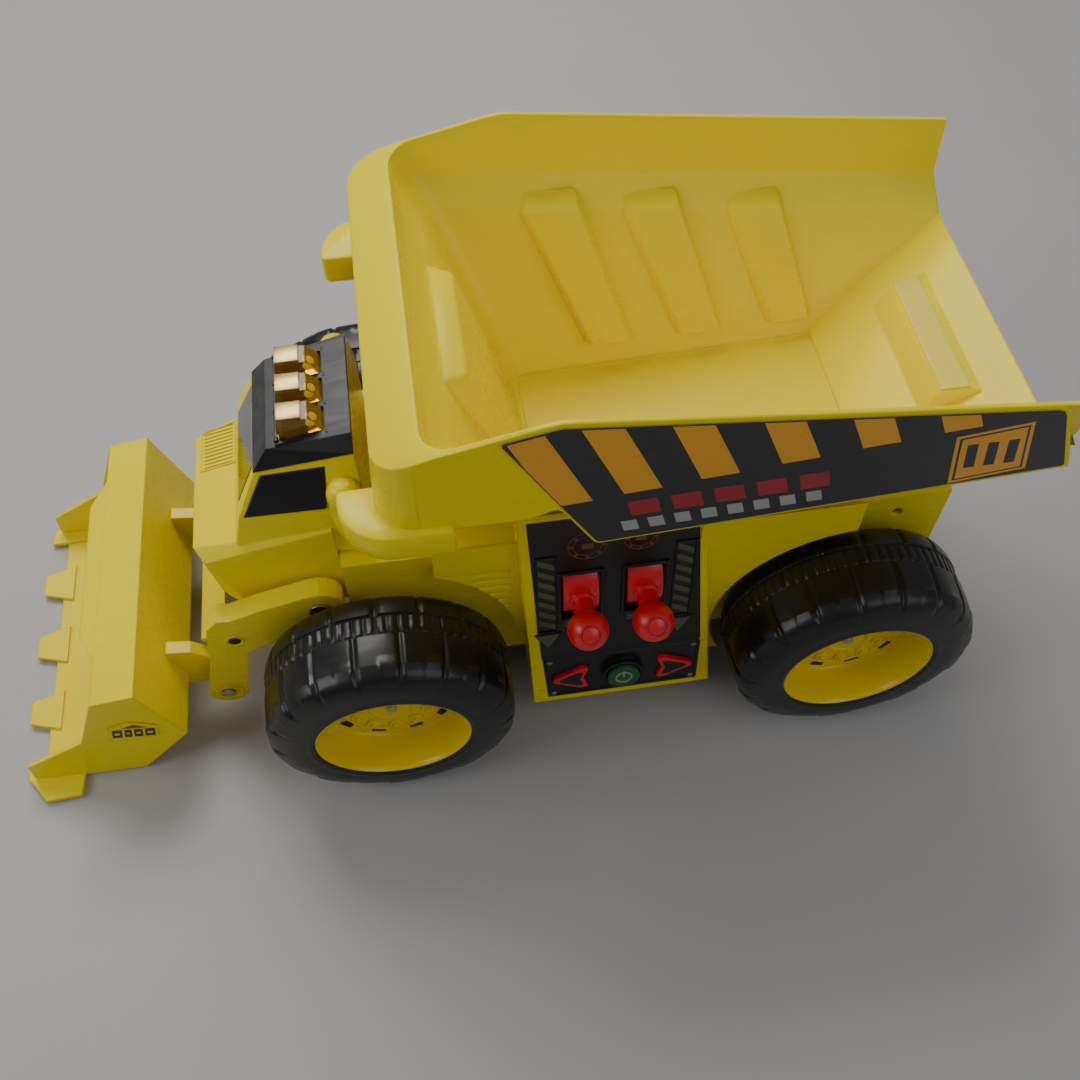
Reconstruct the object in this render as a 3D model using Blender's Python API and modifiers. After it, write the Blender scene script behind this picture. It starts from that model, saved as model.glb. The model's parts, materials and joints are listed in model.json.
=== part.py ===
"""Toy dump truck with a front loader: one object per piece, in metres, +Z up, +X forward, +Y to the left.

Layout values are measured from the point on the floor midway between the axles. The empty
"truck_origin" moves the whole model so that the origin is the bottom centre of its box.
"""

from math import cos, pi, radians, sin, sqrt

import bmesh
import bpy
from mathutils import Matrix, Vector

# ---------------------------------------------------------------- driving dimensions
GAP = 0.0003            # between pieces that rest on each other
RUNNING_GAP = 0.0008    # between pieces that move past each other
WALL = 0.0024           # moulded wall

TYRE_RADIUS = 0.0602
CONSOLE_SPAN = 0.1096       # between the front and the rear tyres, where the console stands
WHEELBASE = 2 * TYRE_RADIUS + CONSOLE_SPAN
TYRE_WIDTH = 0.050
FRONT_TRACK_OUT = 0.1130    # outer face of a front tyre, from the middle plane
REAR_TRACK_OUT = 0.1100
RIM_RADIUS = 0.0371
AXLE_RADIUS = 0.0025
LUGS = 18

BODY_HALF = 0.0535          # half width of the body between the wheels
BODY_TOP = 0.1250
BODY_BOTTOM = 0.0300
BODY_FRONT = 0.1280
BODY_REAR = -0.1640
ARCH_GAP = 0.0055           # from tyre to wheel arch

BED_HALF = 0.0907           # half width over the bed's side panels
BED_FRONT = 0.1023
BED_TAIL = -0.1816
BED_RIM_KINK = (0.0320, 0.2540)
BED_PANEL_FRONT = (0.0173, 0.1750)
BED_PANEL_REAR_Z = 0.1875
BED_FLOOR_FRONT = (0.0352, 0.1360)
BED_FLOOR_REAR = (-0.1170, 0.1430)
BED_FLOOR_HALF = 0.0420
BED_HINGE = (-0.1400, 0.1120)
BED_HINGE_ROD_RADIUS = 0.0025

POD_TILT = radians(6.15)    # lean of the console face
POD_FOOT_Y = 0.0820
POD_FOOT_Z = 0.0165
POD_HEIGHT = 0.1490

ROOF_REAR = (0.1125, 0.0352, 0.1837)
ROOF_FRONT = (0.1572, 0.0292, 0.1715)
HOOD_FRONT = 0.1950
HOOD_TOP = 0.1263
CAB_HALF = 0.0462

ARM_PIVOT = (0.1420, 0.0990)
ARM_ELBOW = (0.1840, 0.0840)
BUCKET_PIVOT = (0.2005, 0.0300)
ARM_IN = 0.0475
ARM_OUT = 0.0580
ARM_HALF_DEPTH = 0.0120
PIN_RADIUS = 0.0032

BUCKET_HALF = 0.0800
BUCKET_TOOTH_TIP = 0.3125
BUCKET_FLOOR_Z = 0.0010
BUCKET_WALL = 0.0024

LEVER_X = (0.0190, -0.0115)
LEVER_HEIGHT = 0.0890       # of the lever pivots, up the console face
LEVER_DRUM_RADIUS = 0.0210
LEVER_PIVOT_DEPTH = 0.0175
LEVER_WIDTH = 0.0170
KNOB_RADIUS = 0.0097
KNOB_REACH = 0.0205         # of the knob's centre from the console face

BUTTON_HEIGHT = 0.0205      # of the button centres, up the console face
POWER_RADIUS = 0.0085
POWER_X = -0.0030
ARROW_X = 0.0270            # of an arrow button, from the power button
ARROW_LENGTH = 0.0190
ARROW_WIDTH = 0.0170

GEAR_MODULE = 0.0010
GEAR_TEETH = 32
PINION_TEETH = 8
GEAR_FACE = 0.0060
GEAR_Y = 0.0120

MOTOR_RADIUS = 0.0100
MOTOR_LENGTH = 0.0260
CELL_RADIUS = 0.00725
CELL_LENGTH = 0.0500
SPEAKER_RADIUS = 0.0180

# ---------------------------------------------------------------- derived values
AXLE_Z = TYRE_RADIUS
FRONT_AXLE_X = WHEELBASE / 2
REAR_AXLE_X = -WHEELBASE / 2
ARCH_RADIUS = TYRE_RADIUS + ARCH_GAP
ORIGIN_SHIFT = -(BUCKET_TOOTH_TIP + BED_TAIL) / 2
PITCH_RADIUS = GEAR_MODULE * GEAR_TEETH / 2
PINION_RADIUS = GEAR_MODULE * PINION_TEETH / 2
PINION_X = REAR_AXLE_X + PITCH_RADIUS + PINION_RADIUS


# ---------------------------------------------------------------- scene and materials
def clear_scene():
    for obj in list(bpy.data.objects):
        bpy.data.objects.remove(obj, do_unlink=True)


def new_collection(name):
    made = bpy.data.collections.new(name)
    bpy.context.scene.collection.children.link(made)
    return made


def material(name, colour, roughness, metallic=0.0, alpha=1.0):
    made = bpy.data.materials.new(name)
    made.use_nodes = True
    shader = made.node_tree.nodes["Principled BSDF"]
    shader.inputs["Base Color"].default_value = (*colour, 1.0)
    shader.inputs["Roughness"].default_value = roughness
    shader.inputs["Metallic"].default_value = metallic
    shader.inputs["Alpha"].default_value = alpha
    made.diffuse_color = (*colour, alpha)
    return made


clear_scene()
PARTS = new_collection("toy_dump_truck")
CUTTERS = new_collection("cutters")
CUTTERS.hide_render = True

YELLOW = material("yellow_gloss", (0.90, 0.70, 0.01), 0.25)
BLACK = material("black_satin", (0.015, 0.015, 0.016), 0.4)
GLASS_BLACK = material("black_gloss", (0.006, 0.006, 0.007), 0.15)
TYRE_BLACK = material("tyre_black", (0.010, 0.010, 0.011), 0.3)
AMBER = material("amber_lens", (0.85, 0.42, 0.03), 0.1, alpha=0.6)
RED = material("red_plastic", (0.85, 0.03, 0.04), 0.35)
GREEN = material("green_button", (0.05, 0.25, 0.10), 0.35)
STEEL = material("steel", (0.55, 0.55, 0.56), 0.35, metallic=1.0)
COPPER_BOARD = material("circuit_green", (0.02, 0.20, 0.07), 0.5)
WHITE_GEAR = material("white_nylon", (0.80, 0.80, 0.76), 0.5)
DECAL = material("decal_black", (0.02, 0.02, 0.02), 0.35)
CELL = material("cell_sleeve", (0.15, 0.15, 0.17), 0.35)


def empty(name, location, rotation=(0, 0, 0), parent=None):
    made = bpy.data.objects.new(name, None)
    made.empty_display_size = 0.01
    made.location = location
    made.rotation_euler = rotation
    made.parent = parent
    PARTS.objects.link(made)
    return made


TRUCK = empty("truck_origin", (ORIGIN_SHIFT, 0, 0))


# ---------------------------------------------------------------- shape helpers
def add_object(name, mesh, finish, parent):
    """A part when it has a finish, and a hidden cutter or filler when it has none."""
    made = bpy.data.objects.new(name, mesh)
    made.parent = parent
    if finish is None:
        made.hide_render = True
        made.display_type = "WIRE"
        CUTTERS.objects.link(made)
    else:
        mesh.materials.append(finish)
        PARTS.objects.link(made)
    return made


def mesh_from(name, shape):
    bmesh.ops.recalc_face_normals(shape, faces=shape.faces)
    mesh = bpy.data.meshes.new(name)
    shape.to_mesh(mesh)
    shape.free()
    return mesh


def mirrored(points):
    """The points and their mirror images across the middle plane."""
    return [*points, *((x, -y, z) for x, y, z in points)]


def hull(name, points, finish=None, parent=TRUCK):
    """The convex solid around the points."""
    shape = bmesh.new()
    for point in points:
        shape.verts.new(point)
    found = bmesh.ops.convex_hull(shape, input=shape.verts)
    loose = [v for v in found["geom_interior"] if isinstance(v, bmesh.types.BMVert)]
    bmesh.ops.delete(shape, geom=loose, context="VERTS")
    bmesh.ops.dissolve_limit(shape, angle_limit=radians(0.05), verts=shape.verts, edges=shape.edges)
    return add_object(name, mesh_from(name, shape), finish, parent)


def box(name, low, high, finish=None, parent=TRUCK):
    shape = bmesh.new()
    size = Vector(high) - Vector(low)
    middle = (Vector(high) + Vector(low)) / 2
    bmesh.ops.create_cube(shape, size=1.0, matrix=Matrix.Translation(middle) @ Matrix.Diagonal((*size, 1)))
    return add_object(name, mesh_from(name, shape), finish, parent)


def cylinder(name, radius, start, end, sides=24, finish=None, parent=TRUCK, radius_end=None):
    """A closed cylinder or cone between two points."""
    shape = bmesh.new()
    start, end = Vector(start), Vector(end)
    turn = (end - start).to_track_quat("Z", "Y").to_matrix().to_4x4()
    place = Matrix.Translation((start + end) / 2) @ turn
    bmesh.ops.create_cone(
        shape,
        cap_ends=True,
        segments=sides,
        radius1=radius,
        radius2=radius if radius_end is None else radius_end,
        depth=(end - start).length,
        matrix=place,
    )
    return smooth(add_object(name, mesh_from(name, shape), finish, parent))


def sphere(name, radius, centre, rings=10, finish=None, parent=TRUCK):
    shape = bmesh.new()
    place = Matrix.Translation(centre)
    bmesh.ops.create_uvsphere(shape, u_segments=2 * rings, v_segments=rings, radius=radius, matrix=place)
    return smooth(add_object(name, mesh_from(name, shape), finish, parent))


def prism(name, outline, low, high, finish=None, parent=TRUCK):
    """A flat outline of (x, z) points, as thick as from low to high along Y."""
    curve = bpy.data.curves.new(name, "CURVE")
    curve.dimensions = "2D"
    curve.fill_mode = "BOTH"
    curve.extrude = (high - low) / 2
    spline = curve.splines.new("POLY")
    spline.points.add(len(outline) - 1)
    for point, (x, z) in zip(spline.points, outline):
        point.co = (x, z, 0, 1)
    spline.use_cyclic_u = True
    guide = bpy.data.objects.new(name + "_outline", curve)
    CUTTERS.objects.link(guide)
    bpy.context.view_layer.update()
    graph = bpy.context.evaluated_depsgraph_get()
    mesh = bpy.data.meshes.new_from_object(guide.evaluated_get(graph))
    bpy.data.objects.remove(guide)
    bpy.data.curves.remove(curve)
    shape = bmesh.new()
    shape.from_mesh(mesh)
    bpy.data.meshes.remove(mesh)
    bmesh.ops.remove_doubles(shape, verts=shape.verts, dist=1e-6)
    upright = Matrix.Rotation(pi / 2, 4, "X")
    place = Matrix.Translation((0, (low + high) / 2, 0)) @ upright
    bmesh.ops.transform(shape, matrix=place, verts=shape.verts)
    return add_object(name, mesh_from(name, shape), finish, parent)


def turned(name, profile, centre, steps, finish=None, parent=TRUCK):
    """A closed ring turned about Y from a closed profile of (radius, y) points."""
    mesh = bpy.data.meshes.new(name)
    count = len(profile)
    points = [(radius, y, 0) for radius, y in profile]
    mesh.from_pydata(points, [(i, (i + 1) % count) for i in range(count)], [])
    made = add_object(name, mesh, finish, parent)
    made.location = centre
    turn = made.modifiers.new("turn", "SCREW")
    turn.axis = "Y"
    turn.steps = steps
    turn.render_steps = steps
    turn.use_merge_vertices = True
    turn.merge_threshold = 0.00001
    return made


def smooth(obj, angle=35):
    obj.data.shade_smooth()
    obj.data.set_sharp_from_angle(angle=radians(angle))
    return obj


def boolean(target, tools, operation):
    for tool in tools:
        step = target.modifiers.new(f"{operation.lower()}_{tool.name}", "BOOLEAN")
        step.operation = operation
        step.solver = "EXACT"
        step.object = tool
    return target


def join(target, *tools):
    return boolean(target, tools, "UNION")


def cut(target, *tools):
    return boolean(target, tools, "DIFFERENCE")


def rounded(points, radii, steps=4):
    """The outline with each corner turned into an arc of its radius. A radius of 0 keeps the corner."""
    outline = []
    count = len(points)
    for i, (point, radius) in enumerate(zip(points, radii)):
        corner = Vector(point)
        before = (Vector(points[i - 1]) - corner).normalized()
        after = (Vector(points[(i + 1) % count]) - corner).normalized()
        if radius == 0:
            outline.append(tuple(corner))
            continue
        half = before.angle(after) / 2
        centre = corner + (before + after).normalized() * radius / sin(half)
        along = radius * cos(half) / sin(half)
        first = (corner + before * along - centre).normalized()
        last = (corner + after * along - centre).normalized()
        for k in range(steps + 1):
            outline.append(tuple(centre + first.slerp(last, k / steps) * radius))
    return outline


def arc(centre, radius, start, end, steps):
    """Points on an arc, with its angles in degrees."""
    turns = [radians(start + (end - start) * k / steps) for k in range(steps + 1)]
    return [(centre[0] + radius * cos(a), centre[1] + radius * sin(a)) for a in turns]


# ---------------------------------------------------------------- dump bed
BED = empty("bed_hinge_axis", (BED_HINGE[0], 0, BED_HINGE[1]), parent=TRUCK)
BED_LEDGE_FALL = 0.1208     # fall of the inner ledge towards the tail, per length
BED_LEDGE_BELOW_RIM = 0.0285
BED_LEDGE_DROP = 0.0105
BED_LEDGE_WIDTH = 0.0110
BED_TAIL_HALF = BED_HALF - 0.0237
BED_GUARD_WIDTH = 0.0198
BED_GUARD_CORNER = 0.0150
BED_SKIRT_Z = 0.1980


def in_bed(points):
    """Bed points measured from the hinge, which is their object's origin."""
    return [(x - BED_HINGE[0], y, z - BED_HINGE[1]) for x, y, z in points]


def bed_hull(name, points, finish=None):
    return hull(name, in_bed(points), finish, BED)


def bed_prism(name, outline, low, high, finish=None):
    moved = [(x - BED_HINGE[0], z - BED_HINGE[1]) for x, z in outline]
    return prism(name, moved, low, high, finish, BED)


def ledge_z(x):
    """Height of the inner ledge's outer edge at x."""
    return BED_RIM_KINK[1] - BED_LEDGE_BELOW_RIM + (x - BED_RIM_KINK[0]) * BED_LEDGE_FALL


def tub_points(grow):
    """The tub below its ledge, grown outwards by a wall for the outer side."""
    half = BED_FLOOR_HALF + grow
    edge = BED_HALF - WALL - BED_LEDGE_WIDTH + grow
    tail_edge = BED_TAIL_HALF + grow
    front_top = BED_FRONT - BED_GUARD_WIDTH + grow
    return [
        (BED_FLOOR_FRONT[0] + grow, half, BED_FLOOR_FRONT[1] - grow),
        (BED_FLOOR_REAR[0] - grow / 2, half, BED_FLOOR_REAR[1] - grow),
        (BED_TAIL, tail_edge, BED_PANEL_REAR_Z + WALL - grow),
        (BED_FRONT - 0.032 + grow, edge - 0.008, ledge_z(0.055) - BED_LEDGE_DROP),
        (0.0200, edge, ledge_z(0.02) - BED_LEDGE_DROP),
        (front_top, edge - 0.004, BED_RIM_KINK[1] - 0.013),
    ]


def side_panel_outline():
    """Side view of the bed's outer skirt and rim."""
    corners = [
        (BED_TAIL, BED_PANEL_REAR_Z),
        BED_PANEL_FRONT,
        (0.0327, 0.2028),
        (0.0450, BED_SKIRT_Z),
        (0.0880, BED_SKIRT_Z),
        (0.0880, 0.2402),
        (0.0777, 0.2438),
        BED_RIM_KINK,
        (-0.1675, 0.2286),
    ]
    return rounded(corners, [0, 0.004, 0.004, 0, 0, 0, 0.010, 0.010, 0.007], 3)


def front_cap():
    """The front corners, skirt and spill guard, as a solid that the tub is then cut from."""
    side = BED_HALF - 0.0001
    back = 0.0690
    corner = [
        (BED_FRONT + 0.0022, 0.0, BED_SKIRT_Z),
        (BED_FRONT + 0.0022, side - BED_GUARD_CORNER - 0.004, BED_SKIRT_Z),
        (BED_FRONT - 0.0030, side - 0.0060, BED_SKIRT_Z),
        (BED_FRONT - BED_GUARD_CORNER, side, BED_SKIRT_Z),
        (back, side, BED_SKIRT_Z),
        (BED_FRONT, 0.0, 0.2345),
        (BED_FRONT, side - BED_GUARD_CORNER, 0.2345),
        (BED_FRONT - 0.0045, side - 0.0045, 0.2362),
        (BED_FRONT - BED_GUARD_CORNER, side, 0.2400),
        (0.0777, side, 0.2438),
        (back, side, 0.2459),
    ]
    return bed_hull("bed_front_cap", mirrored(corner))


def bed_hollow():
    """Cutters for the load space: the upper walls, the ledges and the tub."""
    inner = BED_HALF - WALL
    top = 0.30
    front = BED_FRONT - BED_GUARD_WIDTH
    upper = []
    plan = ((front, inner - 0.012), (front - 0.004, inner - 0.004), (front - 0.014, inner), (-0.21, inner))
    for x, half in plan:
        upper.append((x, half, ledge_z(x)))
        upper.append((x, half, top))
    ledge = []
    narrow = inner - BED_LEDGE_WIDTH
    stations = (
        (front - 0.0010, inner - 0.0110, narrow - 0.0100),
        (front - 0.0040, inner - 0.0040, narrow - 0.0080),
        (front - 0.0140, inner, narrow - 0.0020),
        (-0.21, inner, BED_TAIL_HALF - 0.002),
    )
    for x, wide, slim in stations:
        ledge.append((x, wide, ledge_z(x)))
        ledge.append((x, slim, ledge_z(x) - BED_LEDGE_DROP))
        ledge.append((x, wide, top))
    tub = tub_points(0.0)
    tail_run = (BED_TAIL - BED_FLOOR_REAR[0], BED_PANEL_REAR_Z + WALL - BED_FLOOR_REAR[1])
    beyond = (BED_TAIL + 0.4 * tail_run[0], BED_TAIL_HALF, BED_PANEL_REAR_Z + WALL + 0.4 * tail_run[1])
    raised = [(x, y, top) for x, y, z in tub[2:]]
    return (
        bed_hull("bed_cut_upper", mirrored(upper)),
        bed_hull("bed_cut_ledge", mirrored(ledge)),
        bed_hull("bed_cut_tub", mirrored([*tub, beyond, *raised])),
    )


def bed_front_hollow():
    """Cutter for the room between the tub's front slope and the front skirt, open at the bottom."""
    side = BED_HALF - WALL - 0.0010
    face = BED_FRONT + 0.0022 - WALL
    points = []
    for y, front in ((side - 0.0190, face), (side, BED_FRONT - 0.0170)):
        points += [
            (0.0620, y, 0.1850),
            (0.0860, y, 0.2180),
            (0.0870, y, 0.2360),
            (front, y, 0.1850),
            (front - 0.0022, y, 0.2310),
        ]
    return bed_hull("bed_front_hollow", mirrored(points))


def tub_side(x, z):
    """Half width of the tub's inner side at a height, between its floor and its ledge."""
    top = ledge_z(x) - BED_LEDGE_DROP
    floor = BED_FLOOR_FRONT[1]
    share = (z - floor) / (top - floor)
    return BED_FLOOR_HALF + (BED_HALF - WALL - BED_LEDGE_WIDTH - 0.003 - BED_FLOOR_HALF) * share


def bed_ribs():
    """Three raised ribs on each sloping inner side, narrower towards the floor."""
    rise, sunk = 0.0060, 0.0008
    wide, slim, flank = 0.0125, 0.0095, 0.0035
    ribs = []
    for i, (top_x, bottom_x) in enumerate(((0.0120, -0.0155), (-0.0365, -0.0610), (-0.0870, -0.1060))):
        top_z = ledge_z(top_x) - BED_LEDGE_DROP
        bottom_z = BED_FLOOR_REAR[1] + 0.0080
        for side in (-1, 1):
            points = []
            for x, z, half in ((top_x, top_z, wide), (bottom_x, bottom_z, slim)):
                wall = tub_side(x, z)
                for end in (-1, 1):
                    points.append((x + end * half, side * (wall - rise), z + 0.002))
                    points.append((x + end * (half + flank), side * (wall + sunk), z - 0.002))
            for end in (-1, 1):
                points.append((top_x + end * wide, side * (tub_side(top_x, top_z) + 0.0060), top_z + 0.0065))
            ribs.append(bed_hull(f"bed_rib_{i}_{'l' if side > 0 else 'r'}", points))
    return ribs


def bed_blocks():
    """The raised block on the front wall and the one on the tail."""
    front = [
        (0.0754, 0.0360, 0.2215),
        (0.0605, 0.0300, 0.2185),
        (0.0768, 0.0360, 0.2210),
        (0.0410, 0.0290, 0.1490),
        (0.0400, 0.0290, 0.1460),
    ]
    tail = [
        (-0.1500, 0.0355, 0.1780),
        (-0.1620, 0.0370, 0.1795),
        (-0.1480, 0.0360, 0.1640),
        (-0.1640, 0.0385, 0.1740),
    ]
    return bed_hull("bed_front_block", mirrored(front)), bed_hull("bed_tail_block", mirrored(tail))


def shoulder_ledges():
    """The L-shaped shoulders round the lower front corners."""
    ledges = []
    wider = BED_HALF - 0.0907
    for side in (-1, 1):
        long_leg = [(0.0738, 0.0850), (0.0760, 0.0945), (0.1000, 0.0945), (0.1000, 0.0800)]
        corner = [(0.0955, 0.0943), (0.1110, 0.0915), (0.1180, 0.0830), (0.0980, 0.0780)]
        front_leg = [
            (0.1177, 0.0850),
            (0.1195, 0.0790),
            (0.1185, 0.0670),
            (0.1030, 0.0660),
            (0.1030, 0.0860),
        ]
        legs = (("side", long_leg, 0), ("corner", corner, 0.0002), ("front", front_leg, 0.0004))
        for name, plan, shift in legs:
            spots = [(x, side * (y + wider)) for x, y in plan]
            points = [(x, y, z) for x, y in spots for z in (0.1860 + shift, 0.2010 - shift)]
            ledges.append(bed_hull(f"bed_shoulder_{name}_{'l' if side > 0 else 'r'}", points))
    return ledges


def bed_lugs():
    """Two hinge lugs below the tub."""
    lugs = []
    for side in (-1, 1):
        low, high = sorted((side * 0.0300, side * 0.0350))
        eye = arc(BED_HINGE, 0.0060, 180, 360, 8)
        kink = (BED_FLOOR_REAR[0] - 0.0005, BED_FLOOR_REAR[1] - 0.0010)
        outline = [*eye, (BED_FLOOR_REAR[0] + 0.010, 0.1415), kink, (-0.1430, 0.1605)]
        lugs.append(bed_prism(f"bed_lug_{'l' if side > 0 else 'r'}", outline, low, high))
    return lugs


def dump_bed():
    bed = bed_hull("dump_bed", mirrored(tub_points(WALL)), YELLOW)
    ledge_lip = []
    ends = (
        (0.0700, BED_HALF - 0.002, BED_TAIL_HALF + 0.001),
        (BED_TAIL + 0.0050, BED_HALF - 0.0002, BED_TAIL_HALF - 0.001),
    )
    for x, wide, slim in ends:
        ledge_lip.append((x, wide, ledge_z(x) + 0.003))
        ledge_lip.append((x, wide, ledge_z(x) - WALL))
        ledge_lip.append((x, slim, ledge_z(x) - BED_LEDGE_DROP - WALL))
    fillers = [
        bed_hull("bed_ledge_walls", mirrored(ledge_lip)),
        front_cap(),
        bed_prism("bed_panel_left", side_panel_outline(), BED_HALF - WALL, BED_HALF),
        bed_prism("bed_panel_right", side_panel_outline(), -BED_HALF, -BED_HALF + WALL),
    ]
    join(bed, *fillers)
    cut(bed, *bed_hollow(), bed_front_hollow())
    join(bed, *bed_ribs(), *bed_blocks(), *shoulder_ledges(), *bed_lugs())
    rod_hole = cylinder(
        "bed_rod_hole",
        BED_HINGE_ROD_RADIUS + GAP,
        (0, -0.045, 0),
        (0, 0.045, 0),
        parent=BED,
    )
    return cut(bed, rod_hole)


def bed_decals():
    """A thin printed plate on each side panel."""
    outline = rounded(
        [
            (BED_TAIL + 0.0030, BED_PANEL_REAR_Z + 0.0020),
            (BED_PANEL_FRONT[0] - 0.0005, BED_PANEL_FRONT[1] + 0.0018),
            (0.0312, 0.2030),
            (0.0545, 0.2465),
            (BED_RIM_KINK[0], BED_RIM_KINK[1] - 0.0028),
            (-0.1655, 0.2262),
        ],
        [0.001, 0.003, 0.002, 0.001, 0.006, 0.005],
        2,
    )
    thickness = 0.0004
    near = BED_HALF + GAP
    bed_prism("bed_decal_left", outline, near, near + thickness, DECAL)
    bed_prism("bed_decal_right", outline, -near - thickness, -near, DECAL)


dump_bed()
bed_decals()


# ---------------------------------------------------------------- body shell and chassis
POD_X = ((-0.0505, 0.0435), (-0.0370, 0.0475))     # rear and front edge, at the foot and at the top
POD_TOP_Z = POD_FOOT_Z + POD_HEIGHT * cos(POD_TILT)
POD_TOP_Y = POD_FOOT_Y - POD_HEIGHT * sin(POD_TILT)
SIDE_HALF = 0.0700          # half width of the panel between console and rear arch
LOUVRE_HALF = 0.0620
INNER_HALF = BODY_HALF - WALL
CHASSIS_THICK = 0.0038
CHASSIS_TOP = BODY_BOTTOM - GAP
AXLE_HOLE = AXLE_RADIUS + RUNNING_GAP


def body_blocks():
    """Outer solids that make up the body: spine, side panels, louvred panels and console pods."""
    blocks = []
    for side in (-1, 1):
        tag = "l" if side > 0 else "r"
        panel = []
        for x in (-0.1120, -0.0360):
            panel.append((x, side * 0.0500, BODY_BOTTOM))
            panel.append((x, side * SIDE_HALF, BODY_BOTTOM))
            panel.append((x, side * SIDE_HALF, 0.1480))
            panel.append((x, side * 0.0500, 0.1240))
        blocks.append(hull(f"body_side_{tag}", panel))
        louvre = []
        for x in (0.0400, 0.0860):
            louvre.append((x, side * 0.0500, 0.0600))
            louvre.append((x, side * LOUVRE_HALF, 0.0640))
            louvre.append((x, side * LOUVRE_HALF, 0.1400))
            louvre.append((x, side * 0.0500, 0.1240))
        blocks.append(hull(f"body_louvre_{tag}", louvre))
        pod = []
        (foot_rear, foot_front), (top_rear, top_front) = POD_X
        for x in (foot_rear, foot_front):
            pod += [(x, side * POD_FOOT_Y, POD_FOOT_Z), (x, side * 0.0505, POD_FOOT_Z)]
        for x in (top_rear, top_front):
            pod += [(x, side * POD_TOP_Y, POD_TOP_Z), (x, side * 0.0505, POD_TOP_Z - 0.020)]
        blocks.append(hull(f"body_pod_{tag}", pod))
    return blocks


def body_hollows():
    """Cutters for the inside, the wheel arches and the axle slots."""
    near = (BODY_REAR + WALL, -INNER_HALF, 0.0)
    far = (BODY_FRONT - WALL, INNER_HALF, BODY_TOP - WALL)
    hollows = [box("body_inside", near, far)]
    for side in (-1, 1):
        tag = "l" if side > 0 else "r"
        low, high = sorted((side * (BODY_HALF + 0.0002), side * 0.2))
        for end, x in (("front", FRONT_AXLE_X), ("rear", REAR_AXLE_X)):
            arch = cylinder(f"{end}_arch_{tag}", ARCH_RADIUS, (x, low, AXLE_Z), (x, high, AXLE_Z), sides=48)
            hollows.append(arch)
        low, high = sorted((side * 0.030, side * (SIDE_HALF - WALL)))
        hollows.append(box(f"pod_inside_{tag}", (-0.0400, low, BODY_BOTTOM + 0.004), (0.0380, high, 0.1200)))
    for end, x in (("front", FRONT_AXLE_X), ("rear", REAR_AXLE_X)):
        slot = [(x - AXLE_HOLE, 0.0), (x + AXLE_HOLE, 0.0), *arc((x, AXLE_Z), AXLE_HOLE, 0, 180, 8)]
        hollows.append(prism(f"{end}_axle_slot", slot, -0.08, 0.08))
    return hollows


def body_shell():
    body = box(
        "body_shell",
        (BODY_REAR, -BODY_HALF, BODY_BOTTOM),
        (BODY_FRONT, BODY_HALF, BODY_TOP),
        YELLOW,
    )
    join(body, *body_blocks())
    cut(body, *body_hollows())
    cut(body, *console_recesses())
    hinge_walls = []
    for side in (-1, 1):
        low, high = sorted((side * 0.0380, side * 0.0430))
        near = (BED_HINGE[0] - 0.0070, low, 0.0950)
        far = (BED_HINGE[0] + 0.0070, high, BODY_TOP - 0.0012)
        hinge_walls.append(box(f"body_hinge_wall_{'l' if side > 0 else 'r'}", near, far))
    well = box("bed_lug_well", (-0.1500, -0.0370, 0.1000), (-0.0960, 0.0370, 0.1500))
    notch = box("bed_lug_notch", (BODY_REAR - 0.01, -0.0372, BODY_TOP - 0.0070), (-0.1490, 0.0372, 0.1520))
    cut(body, well, notch)
    join(body, *hinge_walls)
    rod = cylinder(
        "body_rod_hole",
        BED_HINGE_ROD_RADIUS + GAP,
        (BED_HINGE[0], -0.06, BED_HINGE[1]),
        (BED_HINGE[0], 0.06, BED_HINGE[1]),
    )
    grooves = []
    for side in (-1, 1):
        for k in range(6):
            z = 0.0860 + k * 0.0060
            low, high = sorted((side * (LOUVRE_HALF - 0.0008), side * 0.08))
            name = f"louvre_{k}_{'l' if side > 0 else 'r'}"
            grooves.append(box(name, (0.0510, low, z), (0.0690, high, z + 0.0022)))
    return cut(body, rod, *grooves)


BOARD_Z = 0.0560
BOARD_POSTS = ((0.0330, 0.0240), (0.0330, -0.0240), (0.0780, 0.0240), (0.0780, -0.0240))


def chassis():
    """The underside plate with its axle saddles, board posts and the battery opening."""
    plate_half = INNER_HALF - 0.0015
    plate = box(
        "chassis_plate",
        (BODY_REAR + 0.001, -plate_half, CHASSIS_TOP - CHASSIS_THICK),
        (BODY_FRONT - 0.001, plate_half, CHASSIS_TOP),
        BLACK,
    )
    saddles = []
    for end, x in (("front", FRONT_AXLE_X), ("rear", REAR_AXLE_X)):
        for side in (-1, 1):
            low, high = sorted((side * 0.0400, side * 0.0460))
            outline = [
                (x - 0.009, CHASSIS_TOP - 0.001),
                (x + 0.009, CHASSIS_TOP - 0.001),
                *arc((x, AXLE_Z), 0.0065, 0, 180, 8),
            ]
            saddles.append(prism(f"{end}_saddle_{'l' if side > 0 else 'r'}", outline, low, high))
    for x, y in BOARD_POSTS:
        ends = ((x, y, CHASSIS_TOP - 0.001), (x, y, BOARD_Z - GAP))
        saddles.append(cylinder("board_post", 0.0030, *ends, sides=12))
    join(plate, *saddles)
    holes = []
    for end, x in (("front", FRONT_AXLE_X), ("rear", REAR_AXLE_X)):
        ends = ((x, -0.06, AXLE_Z), (x, 0.06, AXLE_Z))
        holes.append(cylinder(f"{end}_axle_hole", AXLE_RADIUS + 0.00015, *ends))
    holes.append(box("battery_opening", (-DOOR_HALF_X, -DOOR_HALF_Y, 0.0), (DOOR_HALF_X, DOOR_HALF_Y, 0.04)))
    for x, y in SCREW_SPOTS:
        holes += screw_holes(x, y, CHASSIS_TOP - CHASSIS_THICK)
    return cut(plate, *holes)


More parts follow.
